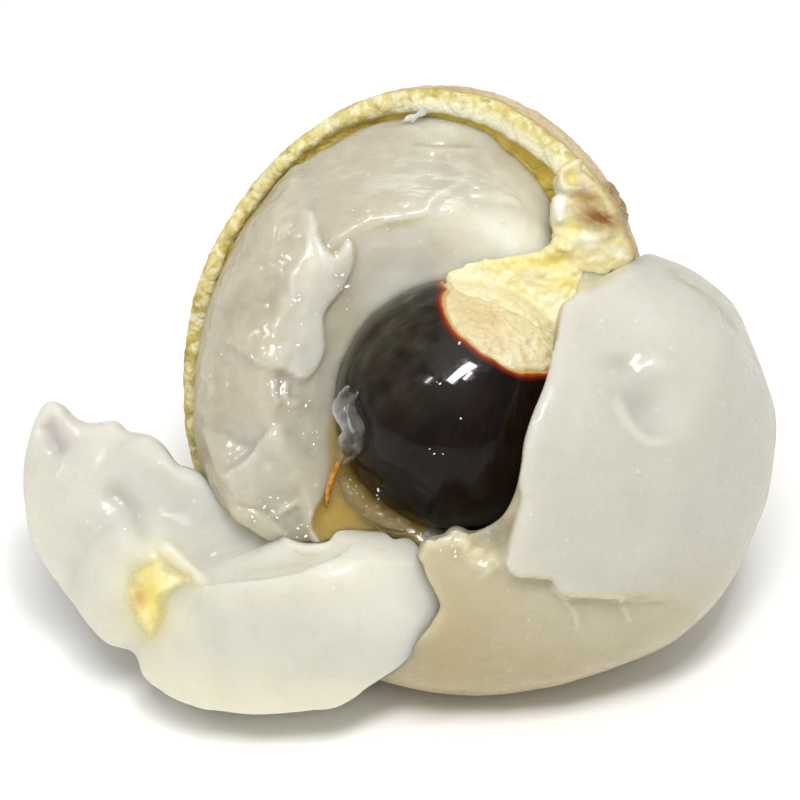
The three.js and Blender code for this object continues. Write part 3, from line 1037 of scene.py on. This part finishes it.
clay.ledge([(-9.0, 6.1), (-9.9, 7.0), (-11.1, 7.8), (-12.0, 8.1), (-12.8, 8.4)], 0.3, 0.12, 1.5)
clay.draw(
    ([(-8.9, 8.6), (-9.8, 8.0), (-10.7, 7.6)], 0.16, 0.2),
    ([(-14.1, 15.1), (-13.6, 14.2), (-14.0, 13.5)], 0.16, 0.15),
)
clay.look()
clay.roughen((0.14, 3.0, 9), (0.05, 0.9, 10), everywhere=False)
left = rise(-clay.x, 7.5, 9)
clay.roughen((0.07, 0.7, 11), share=left, everywhere=False)

# %% Where the inner flesh is clear, white, stained or wet, with painted light in the bowl, by the seed and under the rind's edge, and painted shade where it turns away
UPPER_EDGE = [(-3.0, 28.6), (0.0, 28.2), (2.6, 26.9), (4.2, 24.6), (4.4, 22.4)]
seed_edge = np.linalg.norm(clay.points - np.array(SEED_CENTRE), axis=1) - SEED_RADIUS
to_bowl = np.hypot(clay.x - BOWL_CENTRE[0], clay.y - BOWL_CENTRE[1])
# Painted light: the pale mask lightens the bowl round the seed and the flesh under the rind's upper
# edge, which lie in shade.
in_bowl = rise(11.6 - to_bowl, 0, 2.5) * rise(clay.y, 13, 18) * rise(clay.x, -8.4, -5)
by_edge = 0.65 * clay.band(UPPER_EDGE, 0.9, 4) + 0.4 * clay.spot((2.2, 23.4), 2.4, 2.0)
# Painted shade: flesh on the left that turns away from the view is painted tan and darker.
at_side = 0.85 * rise(0.55 - clay.upward, 0, 0.5) * rise(-clay.x, 8, 10)
in_pool = clay.inside(POOL, 0.25) * rise(9.2 - clay.z, -0.4, 0.8)
clay.paint(
    milk=0.2 * clay.spot((-2, 24.9), 4.2, 1.3, -8),
    white=0.6 * lobe,
    pale=np.maximum(in_bowl * (0.45 + 0.55 * rise(clay.x, -3, 3)), by_edge),
    dull=at_side,
    # Painted shade on the turned-away left side, and one small tan spot.
    tan=np.maximum(at_side, 0.3 * clay.spot((-6.3, 18.0), 1.1, 2.6)),
    streaks=0.8 * clay.spot((-1.8, 24.6), 5, 1.8, -8) + 0.15 * left,
    # Painted light: the flesh next to the seed's upper half is painted a lit cream.
    cream=0.8 * rise(-seed_edge, -1.0, 0) * rise(clay.y, 14, 18),
    amber=in_pool * rise(13.5 - clay.y, -1.5, 3.5) * rise(-clay.x, 1, 3),
    grey=0.5 * clay.spot((-11, 10.5), 1.7, 2.2),
)
inner_clay = clay
finish(inner, ["aril"], inner_finish)

# %% A scrap of flesh that hangs over the rind's edge
SCRAP = [
    (-3.75, 28.1), (-3.55, 28.4), (-3.1, 28.5), (-2.75, 28.85), (-2.5, 28.75), (-2.6, 28.45),
    (-2.95, 28.3), (-3.2, 28.0), (-3.45, 28.15),
]
scrap = skin(column(SCRAP, 5.7, 6.1), "flesh_scrap", 0.06, softness=4)
clay = Clay(scrap)
clay.roughen((0.08, 0.4, 25))
clay.paint(cream=np.full(len(clay.points), 0.5))
finish(scrap, [], flap_finish)

# %% [markdown]
# ## Outer flesh
#
# The other half of the flesh has swung out of the rind. Its upper layer is a thick white fold that
# lies over the right of the seed with a clean edge. Below, that layer has torn away along a ragged
# line and the clearer flesh beneath it shows. The fold could be a piece of its own, but the real one
# grows out of the mass, so the egg's own skin is raised inside the fold's outline.

# %% Outlines: the fold, the opening above the seed and what is torn away on the left
FOLD = [
    (6.1, 19.3), (4.7, 19.2), (3.4, 18.0), (2.6, 14.6), (1.6, 10.8), (2.2, 9.0), (2.0, 7.9),
    (1.6, 6.4), (1.35, 5.6), (1.9, 4.9), (3.7, 4.7), (4.3, 4.0), (6.6, 3.8), (9.4, 3.8),
    (14, 2.5), (20, 8), (18, 20), (10.7, 21.5),
]
OVER_SEED = [(5.0, 23), (-3, 24), (-8.5, 20), (-8.2, 11), (-8.4, 5.6), (-6.4, 4.8)]
OPENING = [
    (-0.4, 6.85), (0.3, 7.0), (0.9, 7.3), (1.5, 7.9), (1.98, 8.9), (2.3, 10.6), (2.5, 11.8),
    (3.6, 15.1), (4.3, 18.3), (5.2, 19.3), *OVER_SEED,
    (-3.6, 5.0), (-2.9, 6.2), (-2.5, 6.6), (-1.8, 6.7), (-1.1, 7.15),
]
OPENING_TOP = [
    (-0.4, 6.75), (0.35, 6.9), (1.0, 7.2), (1.6, 7.8), (2.1, 8.8), (2.45, 10.6), (2.7, 11.8),
    (3.75, 15.1), (4.4, 18.3), (5.3, 19.4), *OVER_SEED,
    (-3.6, 4.9), (-2.9, 6.1), (-2.5, 6.5), (-1.8, 6.6), (-1.1, 7.05),
]
TORN_SIDE = [(-7.6, 3), (-7.6, 10), (-7.4, 17), (-9, 26), (-20, 26), (-26, 10), (-20, -4), (-9, -1)]
TORN_DEPTH = 4
FOLD_RISE = 0.9

# %% Form: an egg, raised inside the fold's outline, with the opening cut out
outer = egg(**OUTER_FLESH, lean=OUTER_LEAN, detail=7)
clay = Clay(outer)
fold = clay.inside(FOLD, 0.10) * (1 - 0.5 * clay.spot((7.4, 3.9), 3.4, 1.5))
fold *= 1 - 0.95 * rise(clay.x - 0.4 * clay.y, 5, 9.5)
clay.points[:, 1] -= 0.6 * clay.spot((9.3, 21.8), 2.6, 1.4, -25)
clay.look()
clay.push(FOLD_RISE * fold, everywhere=True)
clay.push(0.6 * clay.spot((11.5, 1.5), 4.6, 3.4, 35), everywhere=True)
clay.look()
combine(
    outer,
    "DIFFERENCE",
    column(OPENING, 5.0, 30),
    column(OPENING, 9.0, 13.0, OPENING_TOP),
    column(TORN_SIDE, TORN_DEPTH, 30),
    ball(SEED_CENTRE, SEED_RADIUS - 0.05),
    flap_room(),
)
skin(outer, "outer_flesh", VOXEL, softness=4)
print("outer flesh:", len(outer.data.vertices), "points")

# %% Dent, cracks and torn crest
CREST = [(-3.9, 6.9), (-2.5, 6.6), (-1.1, 7.1), (-0.4, 6.3), (0.7, 5.5)]
TORN_LINE = [
    (3.6, 4.6), (4.3, 3.8), (5.5, 3.7), (6.6, 3.7), (7.2, 3.7), (8.1, 3.5), (9.4, 3.6), (9.7, 3.1),
]
clay = Clay(outer)
wedge = clay.spot((0.7, 6.9), 0.95, 0.85, 40) * (1 - clay.inside(FOLD, 0.10))
clay.points[:, 2] -= 2.2 * wedge * rise(clay.z, 8, 11)
clay.look()
clay.push(-0.75 * clay.spot((8.6, 13.4), 1.7, 1.3, -35))
clay.push(0.5 * (clay.x - 8.3) * clay.spot((8.3, 15.5), 1.2, 0.55, -5))
clay.draw(
    ([(6.9, 14.2), (7.2, 13.2), (7.8, 12.2), (8.7, 11.5), (10.2, 11.6)], 0.25, 0.22),
    (TORN_LINE, 0.16, 0.16, 0.1),
    ([(7.2, 3.9), (7.4, 3.3), (7.6, 2.8), (8.0, 2.1)], 0.14, 0.2),
    ([(4.3, 3.8), (4.6, 3.3), (5.0, 2.8), (5.2, 1.6)], 0.14, 0.18),
    ([(-0.2, 4.4), (0.6, 5.0), (1.3, 5.4)], 0.16, 0.12),
    ([(9.4, 20.4), (11.2, 19.5), (12.4, 18.7), (12.9, 17.8), (13.8, 16.9)], 0.14, -0.12),
)
on_crest = clay.band(CREST, 0.5)
clay.push(0.35 * clay.band(CREST, 0.7) * clay.uneven(0.8, 12))
clay.look()
clay.push(0.16 * clay.uneven(4.5, 13), everywhere=True)
clay.push(0.03 * clay.uneven(0.8, 14) * (1 - 0.7 * clay.inside(FOLD, 0.4)))
clay.look()

# %% Where the outer flesh is white or dull, with painted shade low down, where it turns away and along its upper right rim
# A thin tan line along this rim is painted shade where the surface turns away.
OUTER_RIM = [(10.1, 20.3), (11.7, 19.0), (13.0, 17.9), (13.5, 17.1)]
on_fold = clay.inside(FOLD, 0.25) * rise(clay.upward, -0.3, 0.2)
turned_away = rise(0.45 - clay.upward, 0, 0.5)
# Painted shade: tan towards the bottom, and where the flesh turns away from the view.
below = 0.55 * rise(3.0 - clay.y, 0, 5.0) + 0.3 * clay.spot((-1, 1.8), 3, 2.6)
painted_shade = np.maximum(0.2 * turned_away, below * (1 - on_fold))
# Painted shade: the fold's milk white fades at its lower right and where it turns away.
fading = 1 - 0.8 * clay.spot((12.2, 2.9), 3.4, 2.4)
dull_spots = clay.spot((9.8, 13.0), 1.3) + clay.spot((4.4, 14.2), 1.1, 1.9, -15)
clay.paint(
    tan=painted_shade + 0.25 * clay.band(OUTER_RIM, 0.14, 1),
    milk=on_fold * fading * (1 - 0.75 * turned_away),
    dull=np.maximum(0.6 * turned_away, dull_spots),
    streaks=0.03 + 0.03 * on_fold,
    white=0.35 * clay.spot((8.5, 18.0), 4.5, 2.2, -30) * on_fold,
    cream=0.35 * on_crest,
)
outer_clay = clay
finish(outer, ["aril"], outer_finish)

# %% [markdown]
# ## Torn-off flap
#
# The flap is a thick piece of flesh that has folded over on itself, so its near lobe stands in
# front of a shallow hollow. A folded sheet would have an even thickness, which torn flesh has not.
# So five eggs give the lobes, a column trims them to the torn outline, and a ledge along the near
# lobe's upper edge makes the hollow behind it.

# %% Flap
CORE = [
    (-17.9, 4.6), (-17.2, 5.3), (-16.3, 5.6), (-15.6, 5.0), (-14.6, 4.4), (-15.2, 3.9),
    (-15.8, 3.4), (-16.0, 2.2), (-16.7, 1.2), (-17.4, 1.7), (-17.9, 2.6), (-18.3, 3.6),
]
NEAR_LOBE_EDGE = [
    (-6.0, 7.0), (-6.5, 6.2), (-7.3, 5.6), (-8.3, 5.1), (-9.6, 4.7), (-11.1, 4.3), (-12.7, 4.1),
    (-14.3, 3.9), (-15.4, 3.6),
]
flap = flap_lobes()
combine(flap, "INTERSECT", column(widened(FLAP_OUTLINE, 0.1), -30, 30))
skin(flap, "flesh_flap", 0.14, softness=3)
clay = Clay(flap)
lift = 0.5 * np.clip(clay.y + 0.6, 0, 6) * rise(clay.x, -14, -6)
clay.points[:, 2] += lift * rise(clay.z, 4, 7.5)
clay.look()
for place, start, end, rounds in (
    (((-17.0, 4.0), 3.4, 4.2), 3, 5, 90),
    (((-21.0, 10.5), 2.4, 2.4), 2.5, 4, 40),
):
    share = np.minimum(1.3 * clay.spot(*place), 1)
    clay.soften(share * rise(clay.z, start, end), rounds)
clay.ledge(NEAR_LOBE_EDGE, 0.7, 0.2, 2.2, 0.3)
clay.push(-0.8 * clay.spot((-10.2, 5.7), 3.0, 0.8, 10))
clay.draw(
    ([(-16.6, 6.3), (-15.9, 5.8), (-14.7, 4.7), (-13.6, 4.1)], 0.3, 0.5),
    ([(-19.5, 9.5), (-18.2, 8.2), (-17.4, 6.9), (-16.6, 6.1)], 0.6, -0.35),
    ([(-22.6, 12.8), (-22.0, 11.6), (-21.4, 10.6)], 0.5, -0.35),
)
clay.push(-0.5 * clay.spot((-17.2, 3.6), 0.7, 1.3, 20))
clay.look()
clay.roughen((0.14, 3.0, 15), (0.02, 0.9, 16))
# Painted light: the shallow hollow behind the near lobe is painted cream and pale, though it lies in
# shade.
hollow = clay.spot((-10.2, 5.8), 3.2, 0.9, 10)
# Painted shade: the hollow under the curled tip is painted lavender grey.
tip = clay.spot((-21.8, 12), 0.9, 1.6)
by_core = 0.5 * clay.spot((-15.3, 5.2), 1.6, 0.45, -38)
clay.paint(
    streaks=0.3 * clay.spot((-11, 7), 3, 2),
    # Painted shade: grey over the flap's upper part, where its inner side lies in shade.
    grey=0.65 * clay.spot((-16.5, 9.2), 3.6, 2.6, -30),
    lavender=0.9 * tip,
    dull=0.8 * clay.spot((-14.0, 8.6), 3.0, 2.0, -35) + 0.7 * tip,
    # Painted reflection: cream towards the bottom stands for warm light reflected from below.
    cream=0.35 * rise(1.5 - clay.y, 0, 4) + by_core + 0.3 * hollow,
    yellow=0.35 * clay.spot((-16.8, 3.3), 1.9, 2.8, 8) + 0.65 * clay.inside(CORE, 0.8),
    # Painted light: a pale spot on the flap's right end, where the outer flesh shades it.
    pale=0.3 * clay.spot((-4.5, 3.0), 3.2, 2.6) + 0.3 * hollow,
)
flap_clay = clay
finish(flap, ["torn_flap"], flap_finish)

# %% [markdown]
# ## Fibres
#
# Where the seed was tied to the rind there is a tuft of pale yellow fibre, soft and lumpy. It could
# be built of many threads under one skin, but they would never close to the torn outline that the
# eye knows it by. So it starts as a slab with that outline, which is let down over the seed, raised
# at its torn lip and roughened with lumps and fine grain.

# %% Placenta: a tuft with a drawn outline, from the scar to the edge of the rind
PLACENTA = [
    (-1.5, 19.6), (-1.3, 20.2), (0.3, 20.75), (2.1, 21.05), (3.6, 21.3), (4.0, 22.05),
    (3.95, 22.9), (4.05, 23.8), (4.25, 24.3), (4.1, 24.9), (4.5, 25.5), (5.0, 25.75),
    (5.7, 25.3), (6.5, 24.6), (7.1, 24.0), (7.5, 23.1), (7.8, 22.3), (8.2, 21.2), (7.8, 20.5),
    (6.9, 20.2), (6.2, 19.6), (5.6, 18.8), *TUFT_EDGE[:0:-1],
]
SLAB_FOOT, SLAB_TOP = 5.6, 8.5
placenta = column(PLACENTA, SLAB_FOOT, SLAB_TOP)
skin(placenta, "placenta_fibres", 0.09, softness=14)
clay = Clay(placenta)
upward = rise(clay.upward, 0.1, 0.6)
aside = np.hypot(clay.x - SEED_CENTRE.x, clay.y - SEED_CENTRE.y)
seed_height = SEED_CENTRE.z + np.sqrt(np.maximum(SEED_RADIUS**2 - aside**2, 0))
over_seed = seed_height - SLAB_TOP + 0.1
clay.points[:, 2] += upward * np.maximum(over_seed, 0)
thin_edge = 0.8 - 0.9 * clay.inside(PLACENTA, 0.9)
clay.points[:, 2] -= upward * thin_edge * rise(over_seed, 0, 0.6)
clay.points[:, 2] += upward * clay.spot((5.9, 23.2), 1.7, 2.4, 20)
clay.look()
clay.soften(upward, 6)
LIP = [(5.5, 25.5), (4.9, 25.5), (4.5, 25.1), (4.6, 24.6), (5.0, 24.4), (5.7, 24.5)]
clay.draw(
    (LIP, 0.2, 0.5, 0.1),
    ([(4.3, 24.2), (4.35, 23.4), (4.5, 22.5)], 0.3, 0.5),
    ([(5.0, 22.9), (5.9, 23.0), (6.6, 22.5), (6.6, 21.7)], 0.35, 0.35),
    ([(3.4, 20.9), (4.4, 21.4), (5.3, 21.3)], 0.4, 0.3),
)
clay.push(-0.45 * clay.spot((5.9, 23.9), 1.0, 0.5, -25))
clay.push(-0.5 * clay.spot((6.45, 23.05), 0.7, 0.3, -18))
clay.push(-0.25 * clay.spot((5.0, 22.4), 0.45, 0.3) - 0.2 * clay.spot((4.3, 20.8), 0.6, 0.4))
clay.look()
clay.roughen((0.13, 1.1, 17), (0.09, 0.38, 23))
drawn_out = clay.points * (1, 3.6, 3.6)
clay.push(0.02 * uneven(drawn_out, 1.0, 18), everywhere=True)
clay.look()

# %% Where the placenta is yellow, stained or white
YELLOW_SPOTS = [
    ((5.0, 22.4), 0.5, 0.35), ((4.2, 20.9), 0.7, 0.5), ((4.6, 19.7), 0.8, 0.4),
    ((2.6, 20.7), 1.6, 0.35), ((4.9, 25.0), 0.3, 0.4),
]
BY_RIND = [(5.6, 25.6), (6.6, 24.7), (7.4, 23.4), (7.9, 22.2), (8.2, 21.3)]
pale = clay.spot((4.3, 23.6), 0.35, 0.9) + 0.4 * clay.spot((5.7, 22.0), 0.9, 0.4)
clay.paint(
    yellow=0.9 * sum(clay.spot(*place) for place in YELLOW_SPOTS),
    tan=np.maximum(0.75 * clay.band(BY_RIND, 0.4), 0.9 * clay.spot((5.6, 24.1), 1.4, 0.8, -35)),
    brown=1.1 * clay.spot((6.35, 22.95), 1.1, 0.5, -18),
    tuft=clay.band(TUFT_EDGE, 0.8),
    white=0.3 * clay.band(LIP, 0.22, 1) + pale,
)

# %% Fibre finish, which may fade out where a mask says that the flesh begins
FIBRE_DARK, FIBRE_LIGHT = (0.74, 0.65, 0.32, 1), (0.76, 0.71, 0.47, 1)
FIBRE_THREAD = (0.78, 0.76, 0.60, 1)
FIBRE_GRAIN = (0.64, 0.50, 0.17, 1)
FIBRE_TONES = {
    "tan": (0.38, 0.24, 0.06, 1),
    "yellow": (0.74, 0.64, 0.17, 1),
    "white": (0.86, 0.84, 0.74, 1),
    "brown": (0.22, 0.09, 0.012, 1),
    "tuft": TUFT,
    "pit": (0.48, 0.30, 0.06, 1),
}


def fibre_material(name, fades_out=False):
    material, tree, shader = new_material(name)
    place = millimetres(tree)
    stretched = {"Position": place, "Stretch": (0.8, 1.8, 1.8), "Fineness": 2.0}
    thread = times(tree, use(tree, fibres, stretched)["Mask"], 0.5)
    soft = cloud(tree, place, 0.8, 3)
    grain = cloud(tree, place, 3.2, 4, 0.6)
    colour = blend(tree, ramp(tree, soft, 0.4, 0.62), FIBRE_DARK, FIBRE_LIGHT)
    colour = blend(tree, thread, colour, FIBRE_THREAD)
    colour = blend(tree, ramp(tree, grain, 0.52, 0.66, 0, 0.4), colour, FIBRE_GRAIN)
    set_inputs(tree, shader, {
        "Base Color": painted(tree, colour, FIBRE_TONES),
        "Roughness": ramp(tree, soft, 0.3, 0.7, 0.35, 0.6),
        "Normal": bump(tree, grain, 0.1, 0.5),
        **scatter(0.3, (1.0, 0.8, 0.4), 0.4),
    })
    if fades_out:
        set_inputs(tree, shader, {"Alpha": ramp(tree, mask(tree, "flesh"), 0, 1, 1, 0)})
    return material


finish(placenta, ["placenta"], fibre_material("fibre"))

# %% [markdown]
# The flap has a fibrous core of its own. It lies almost flush with the flap's surface, so each of
# its points takes the height of the flap under it, and a little more in the middle. Round its edge
# it fades out, because in a real flap the fibre runs on into the flesh without a border.

# %% Heights of the piece that lies under another
def heights_under(points, under):
    close = (np.abs(under.points - points.mean(0)) < 5).all(1)
    front = under.points[(under.upward > 0.1) & close]
    lookup = kdtree.KDTree(len(front))
    for k, (x, y, _) in enumerate(front):
        lookup.insert((x, y, 0), k)
    lookup.balance()
    return np.array([front[lookup.find((x, y, 0))[1], 2] for x, y, _ in points])


# %% The flap's own core
core = skin(column(widened(CORE, 0.8), 4.5, 6.5), "flap_fibres", 0.09, softness=8)
clay = Clay(core)
upward = rise(clay.upward, 0, 0.5)
proud = 0.14 - 0.24 * (1 - clay.inside(CORE, 0.9))
level = heights_under(clay.points, flap_clay)
clay.points[:, 2] += upward * (level + proud - clay.z)
clay.look()
clay.soften(upward, 14)
clay.push(upward * 0.09 * clay.uneven(1.1, 19), everywhere=True)
clay.look()
fibrous = clay.inside(widened(CORE, -0.3), 0.5) * (1 + 0.4 * clay.uneven(0.7, 27))
clay.paint(
    yellow=0.9 * clay.spot((-16.8, 3.3), 1.1, 1.8),
    pit=0.9 * clay.spot((-17.4, 3.35), 0.4, 0.65, 15),
    flesh=1 - np.clip(fibrous, 0, 1),
)
finish(core, ["flap_core"], fibre_material("core fibre", fades_out=True))

# %% [markdown]
# ## Films
#
# Two scraps of clear skin have curled up against the seed, and one orange fibre has come loose in
# the pool of juice. A film is a strip that is bent most of the way round a path over the seed. It
# is crumpled by noise and then given a thin wall, and its two long hems are painted paler than its
# middle, as a painted highlight along its edges.

# %% Film finish
FILM_DARK, FILM_LIGHT = (0.19, 0.17, 0.15, 1), (0.32, 0.30, 0.28, 1)
# The hems' pale tone is a painted highlight along the film's edges.
FILM_TONES = {"hem": (0.70, 0.68, 0.64, 1), "amber": (0.27, 0.19, 0.05, 1)}
film_finish, tree, shader = new_material("film")
place = millimetres(tree)
knots = cloud(tree, place, 1.6, 3)
colour = blend(tree, ramp(tree, knots, 0.4, 0.6), FILM_DARK, FILM_LIGHT)
clearness = ramp(tree, knots, 0.35, 0.65, 0.08, 0.24)
wetness = use(tree, wet, {"Position": place, "Beads per mm": 3.0, "Dry": 0.10})
set_inputs(tree, shader, {
    "Base Color": painted(tree, colour, FILM_TONES),
    "Alpha": plus(tree, clearness, times(tree, mask(tree, "hem"), 0.3), clamp=True),
    "Roughness": wetness["Roughness"],
    "Normal": bump(tree, wetness["Height"], 0.2, 0.6),
    "Coat Weight": 0.4,
    "Coat Roughness": 0.05,
    **scatter(0.6, (1.0, 0.8, 0.6), 0.6),
})


# %% A strip curled round a path, from one angle about it to another
def tangents(path):
    ahead, behind = np.vstack([path[1:], path[-1:]]), np.vstack([path[:1], path[:-1]])
    return [Vector((0, 0, 1)).rotation_difference(Vector(way)).to_matrix() for way in ahead - behind]


def curl_along(points, radius, start, end, steps=16):
    path = smooth_path(points, steps=6)
    shape = bmesh.new()
    hem = shape.verts.layers.float.new("hem")
    rows = []
    for k, (here, facing) in enumerate(zip(path, tangents(path))):
        wide = radius * (0.2 + 0.8 * math.sin(math.pi * (k + 0.7) / (len(path) + 0.4)) ** 0.6)
        row = []
        for step in range(steps + 1):
            angle = math.radians(start + (end - start) * step / steps)
            turned = facing @ Vector((math.cos(angle), math.sin(angle), 0))
            row.append(shape.verts.new(Vector(here) + wide * turned))
            row[-1][hem] = abs(2 * step / steps - 1) ** 3
        rows.append(row)
    for row, after in zip(rows, rows[1:]):
        for k in range(steps):
            shape.faces.new((row[k], row[k + 1], after[k + 1], after[k]))
    return to_object("curl", shape)


def on_seed(points, lift):
    """A path that is drawn in the view and lies so far above the seed."""
    path = []
    for x, y in points:
        aside = (x - SEED_CENTRE.x) ** 2 + (y - SEED_CENTRE.y) ** 2
        height = math.sqrt(max((SEED_RADIUS + lift) ** 2 - aside, 0.5))
        path.append((x, y, SEED_CENTRE.z + height))
    return path


# %% Films
UPPER_FILM = [(-6.3, 14.1), (-6.7, 13.5), (-6.6, 12.7), (-6.3, 12.0), (-6.5, 11.2), (-7.0, 10.4)]
LOWER_FILM = [(-6.9, 9.8), (-6.5, 9.2), (-5.8, 8.4), (-4.9, 7.7), (-4.0, 7.3), (-3.4, 7.1)]
for name, node, points, radius, lift, amber, opened in (
    ("curled_film", "upper_film", UPPER_FILM, 0.66, 0.3, 0.0, (-75, 170)),
    ("rolled_film", "lower_film", LOWER_FILM, 0.68, 0.6, 0.8, (-130, 200)),
):
    film = curl_along(on_seed(points, lift), radius, *opened)
    film.name = name
    modified(film, "SUBSURF", levels=2, render_levels=2)
    Clay(film).roughen((0.16, 0.9, 20), (0.05, 0.3, 24))
    modified(film, "SOLIDIFY", thickness=0.08, offset=0)
    clay = Clay(film)
    clay.paint(amber=np.full(len(clay.points), amber))
    finish(film, [node], film_finish)


# %% A round thread through a few points
def thread_along(points, radius, sides=8):
    path = smooth_path(points, steps=6)
    shape = bmesh.new()
    before = []
    for k, (here, facing) in enumerate(zip(path, tangents(path))):
        taper = radius * (0.45 + 0.55 * math.sin(math.pi * (k + 0.6) / len(path)))
        place = Matrix.Translation(here) @ facing.to_4x4()
        made = bmesh.ops.create_circle(
            shape, segments=sides, radius=taper, cap_ends=False, matrix=place
        )
        ring = made["verts"]
        if before:
            open_edges = [
                edge
                for edge in {edge for vert in ring + before for edge in vert.link_edges}
                if len(edge.link_faces) < 2 and set(edge.verts) <= set(ring + before)
            ]
            bmesh.ops.bridge_loops(shape, edges=open_edges)
        before = ring
    bmesh.ops.holes_fill(shape, edges=shape.edges, sides=0)
    bmesh.ops.recalc_face_normals(shape, faces=shape.faces)
    return to_object("thread", shape)


# %% The loose orange fibre
ORANGE_DARK, ORANGE_LIGHT = (0.42, 0.15, 0.012, 1), (0.58, 0.28, 0.04, 1)
orange_finish, tree, shader = new_material("orange fibre")
tone = cloud(tree, millimetres(tree), 2.5, 2)
set_inputs(tree, shader, {
    "Base Color": blend(tree, ramp(tree, tone, 0.4, 0.6), ORANGE_DARK, ORANGE_LIGHT),
    "Roughness": ramp(tree, tone, 0.3, 0.7, 0.2, 0.4),
})
loose = thread_along([(-6.8, 10.8, 8.4), (-7.2, 10.1, 8.3), (-7.6, 9.0, 8.0), (-7.7, 8.1, 7.7)], 0.17)
loose.name = "orange_fibre"
finish(loose, [], orange_finish)

# %% [markdown]
# ## Beads of juice
#
# Juice stands in tiny beads on the torn edges, and these are what sparkles; their whitish colour is
# painted highlight. Each is a squashed icosphere of a few dozen faces, set on the highest point of
# the flesh under it. A fixed seed scatters them, so they fall in the same places each time.

# %% Beads
def top_of(clay, x, y):
    near_by = np.hypot(clay.x - x, clay.y - y) < 0.2
    return clay.z[near_by].max() if near_by.any() else None


rng = np.random.default_rng(7)
BEAD_SPOTS = [  # where, how far they scatter across and along, and how many
    (inner_clay, (-9.1, 18.7), 0.20, 0.9, 9), (inner_clay, (-6.8, 19.5), 0.25, 0.6, 9),
    (inner_clay, (-10.3, 14.3), 0.4, 0.5, 7), (inner_clay, (-9.3, 13.6), 0.5, 0.5, 8),
    (inner_clay, (-8.3, 12.0), 0.4, 0.6, 6), (inner_clay, (-10.8, 7.9), 0.7, 0.35, 9),
    (inner_clay, (-9.2, 7.1), 0.4, 0.4, 7), (inner_clay, (-11.3, 15.9), 0.7, 0.3, 5),
    (inner_clay, (0.1, 24.6), 0.35, 0.15, 4), (inner_clay, (1.6, 23.0), 0.6, 0.2, 4),
    (inner_clay, (-5.0, 23.0), 1.2, 0.3, 7), (outer_clay, (-1.0, 6.4), 0.7, 0.4, 8),
    (flap_clay, (-19.6, 7.8), 0.6, 0.5, 5), (flap_clay, (-18.0, 7.1), 0.3, 0.2, 3),
    # On the black seed the beads sit where its highlights are, and their whitish colour is painted
    # highlight.
    (seed_clay, (-0.9, 16.4), 0.1, 0.1, 2), (seed_clay, (-0.9, 12.8), 0.1, 0.1, 1),
    (seed_clay, (-2.1, 14.6), 0.2, 0.1, 2), (seed_clay, (-2.3, 11.1), 0.3, 0.2, 3),
    (seed_clay, (-4.8, 8.8), 0.2, 0.2, 3),
]
SMALLEST, LARGER_BY = 0.025, 0.06
FLATNESS = 0.5
drops = bmesh.new()
for clay, (x, y), wide, high, count in BEAD_SPOTS:
    for _ in range(count):
        at_x, at_y = x + wide * rng.normal(), y + high * rng.normal()
        top = top_of(clay, at_x, at_y)
        if top is None:
            continue
        size = SMALLEST + LARGER_BY * rng.random() ** 2
        squashed = Matrix.Diagonal((1, 1 + 1.4 * rng.random(), FLATNESS, 1))
        turned = Matrix.Rotation(math.pi * rng.random(), 4, "Z")
        matrix = Matrix.Translation((at_x, at_y, top)) @ turned @ squashed
        bmesh.ops.create_icosphere(drops, subdivisions=2, radius=size, matrix=matrix)
juice = to_object("juice_beads", drops)

# %% Bead finish: a whitish colour that is painted highlight, under a clear coat
BEAD_GLINT_DARK, BEAD_GLINT_LIGHT = (0.62, 0.62, 0.60, 1), (0.85, 0.85, 0.85, 1)
bead_finish, tree, shader = new_material("juice bead glint")
sheen = cloud(tree, millimetres(tree), 4, 2)
set_inputs(tree, shader, {
    "Base Color": blend(tree, ramp(tree, sheen, 0.35, 0.65), BEAD_GLINT_DARK, BEAD_GLINT_LIGHT),
    "Roughness": ramp(tree, sheen, 0.3, 0.7, 0.02, 0.08),
    "Coat Weight": 1.0,
    "Coat Roughness": 0.02,
})
finish(juice, [], bead_finish)

# %% [markdown]
# ## Floor and light
#
# A plain white floor and soft light from all round, as in a light tent, with a broad lamp over the
# fruit. Three small lamps give the wet flesh its sparkles.

# %% Floor
ground = bmesh.new()
bmesh.ops.create_grid(ground, x_segments=1, y_segments=1, size=0.6)
floor = to_object("floor", ground)
floor_finish, tree, shader = new_material("floor")
set_inputs(tree, shader, {"Base Color": (0.93, 0.93, 0.92, 1), "Roughness": 0.9})
floor.data.materials.append(floor_finish)
floor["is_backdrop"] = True

# %% Lights
LIT = Vector((0, 0, 0.01))  # the point that the lamps look at
sky = bpy.data.worlds.new("sky")
bpy.context.scene.world = sky
sky.use_nodes = True
tent = {"Color": (1, 1, 1, 1), "Strength": 0.45}
set_inputs(sky.node_tree, sky.node_tree.nodes["Background"].inputs, tent)


def lamp(name, place, width, length, power, roll=0):
    light = bpy.data.lights.new(name, "AREA")
    light.shape = "RECTANGLE"
    light.size, light.size_y = width, length
    light.energy = power
    made = bpy.data.objects.new(name, light)
    bpy.context.scene.collection.objects.link(made)
    made.location = place
    aim = (LIT - Vector(place)).to_track_quat("-Z", "Y")
    made.rotation_euler = (aim.to_matrix() @ Matrix.Rotation(math.radians(roll), 3, "Z")).to_euler()


lamp("broad lamp", (0, 0.05, 0.5), 0.6, 0.6, 0.5)
lamp("strip lamp", (0.0, -0.165, 0.375), 0.06, 0.2, 1.0, roll=-45)
lamp("side strip", (0.045, -0.185, 0.36), 0.016, 0.07, 0.2, roll=-45)
lamp("sparkle left", (-0.20, -0.12, 0.28), 0.02, 0.05, 0.08)
bpy.context.scene.view_settings.view_transform = "Standard"

# %% Sizes, for comparing with the model
low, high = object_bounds()
print("visual size in mm:", [round(1000 * side, 1) for side in high - low])
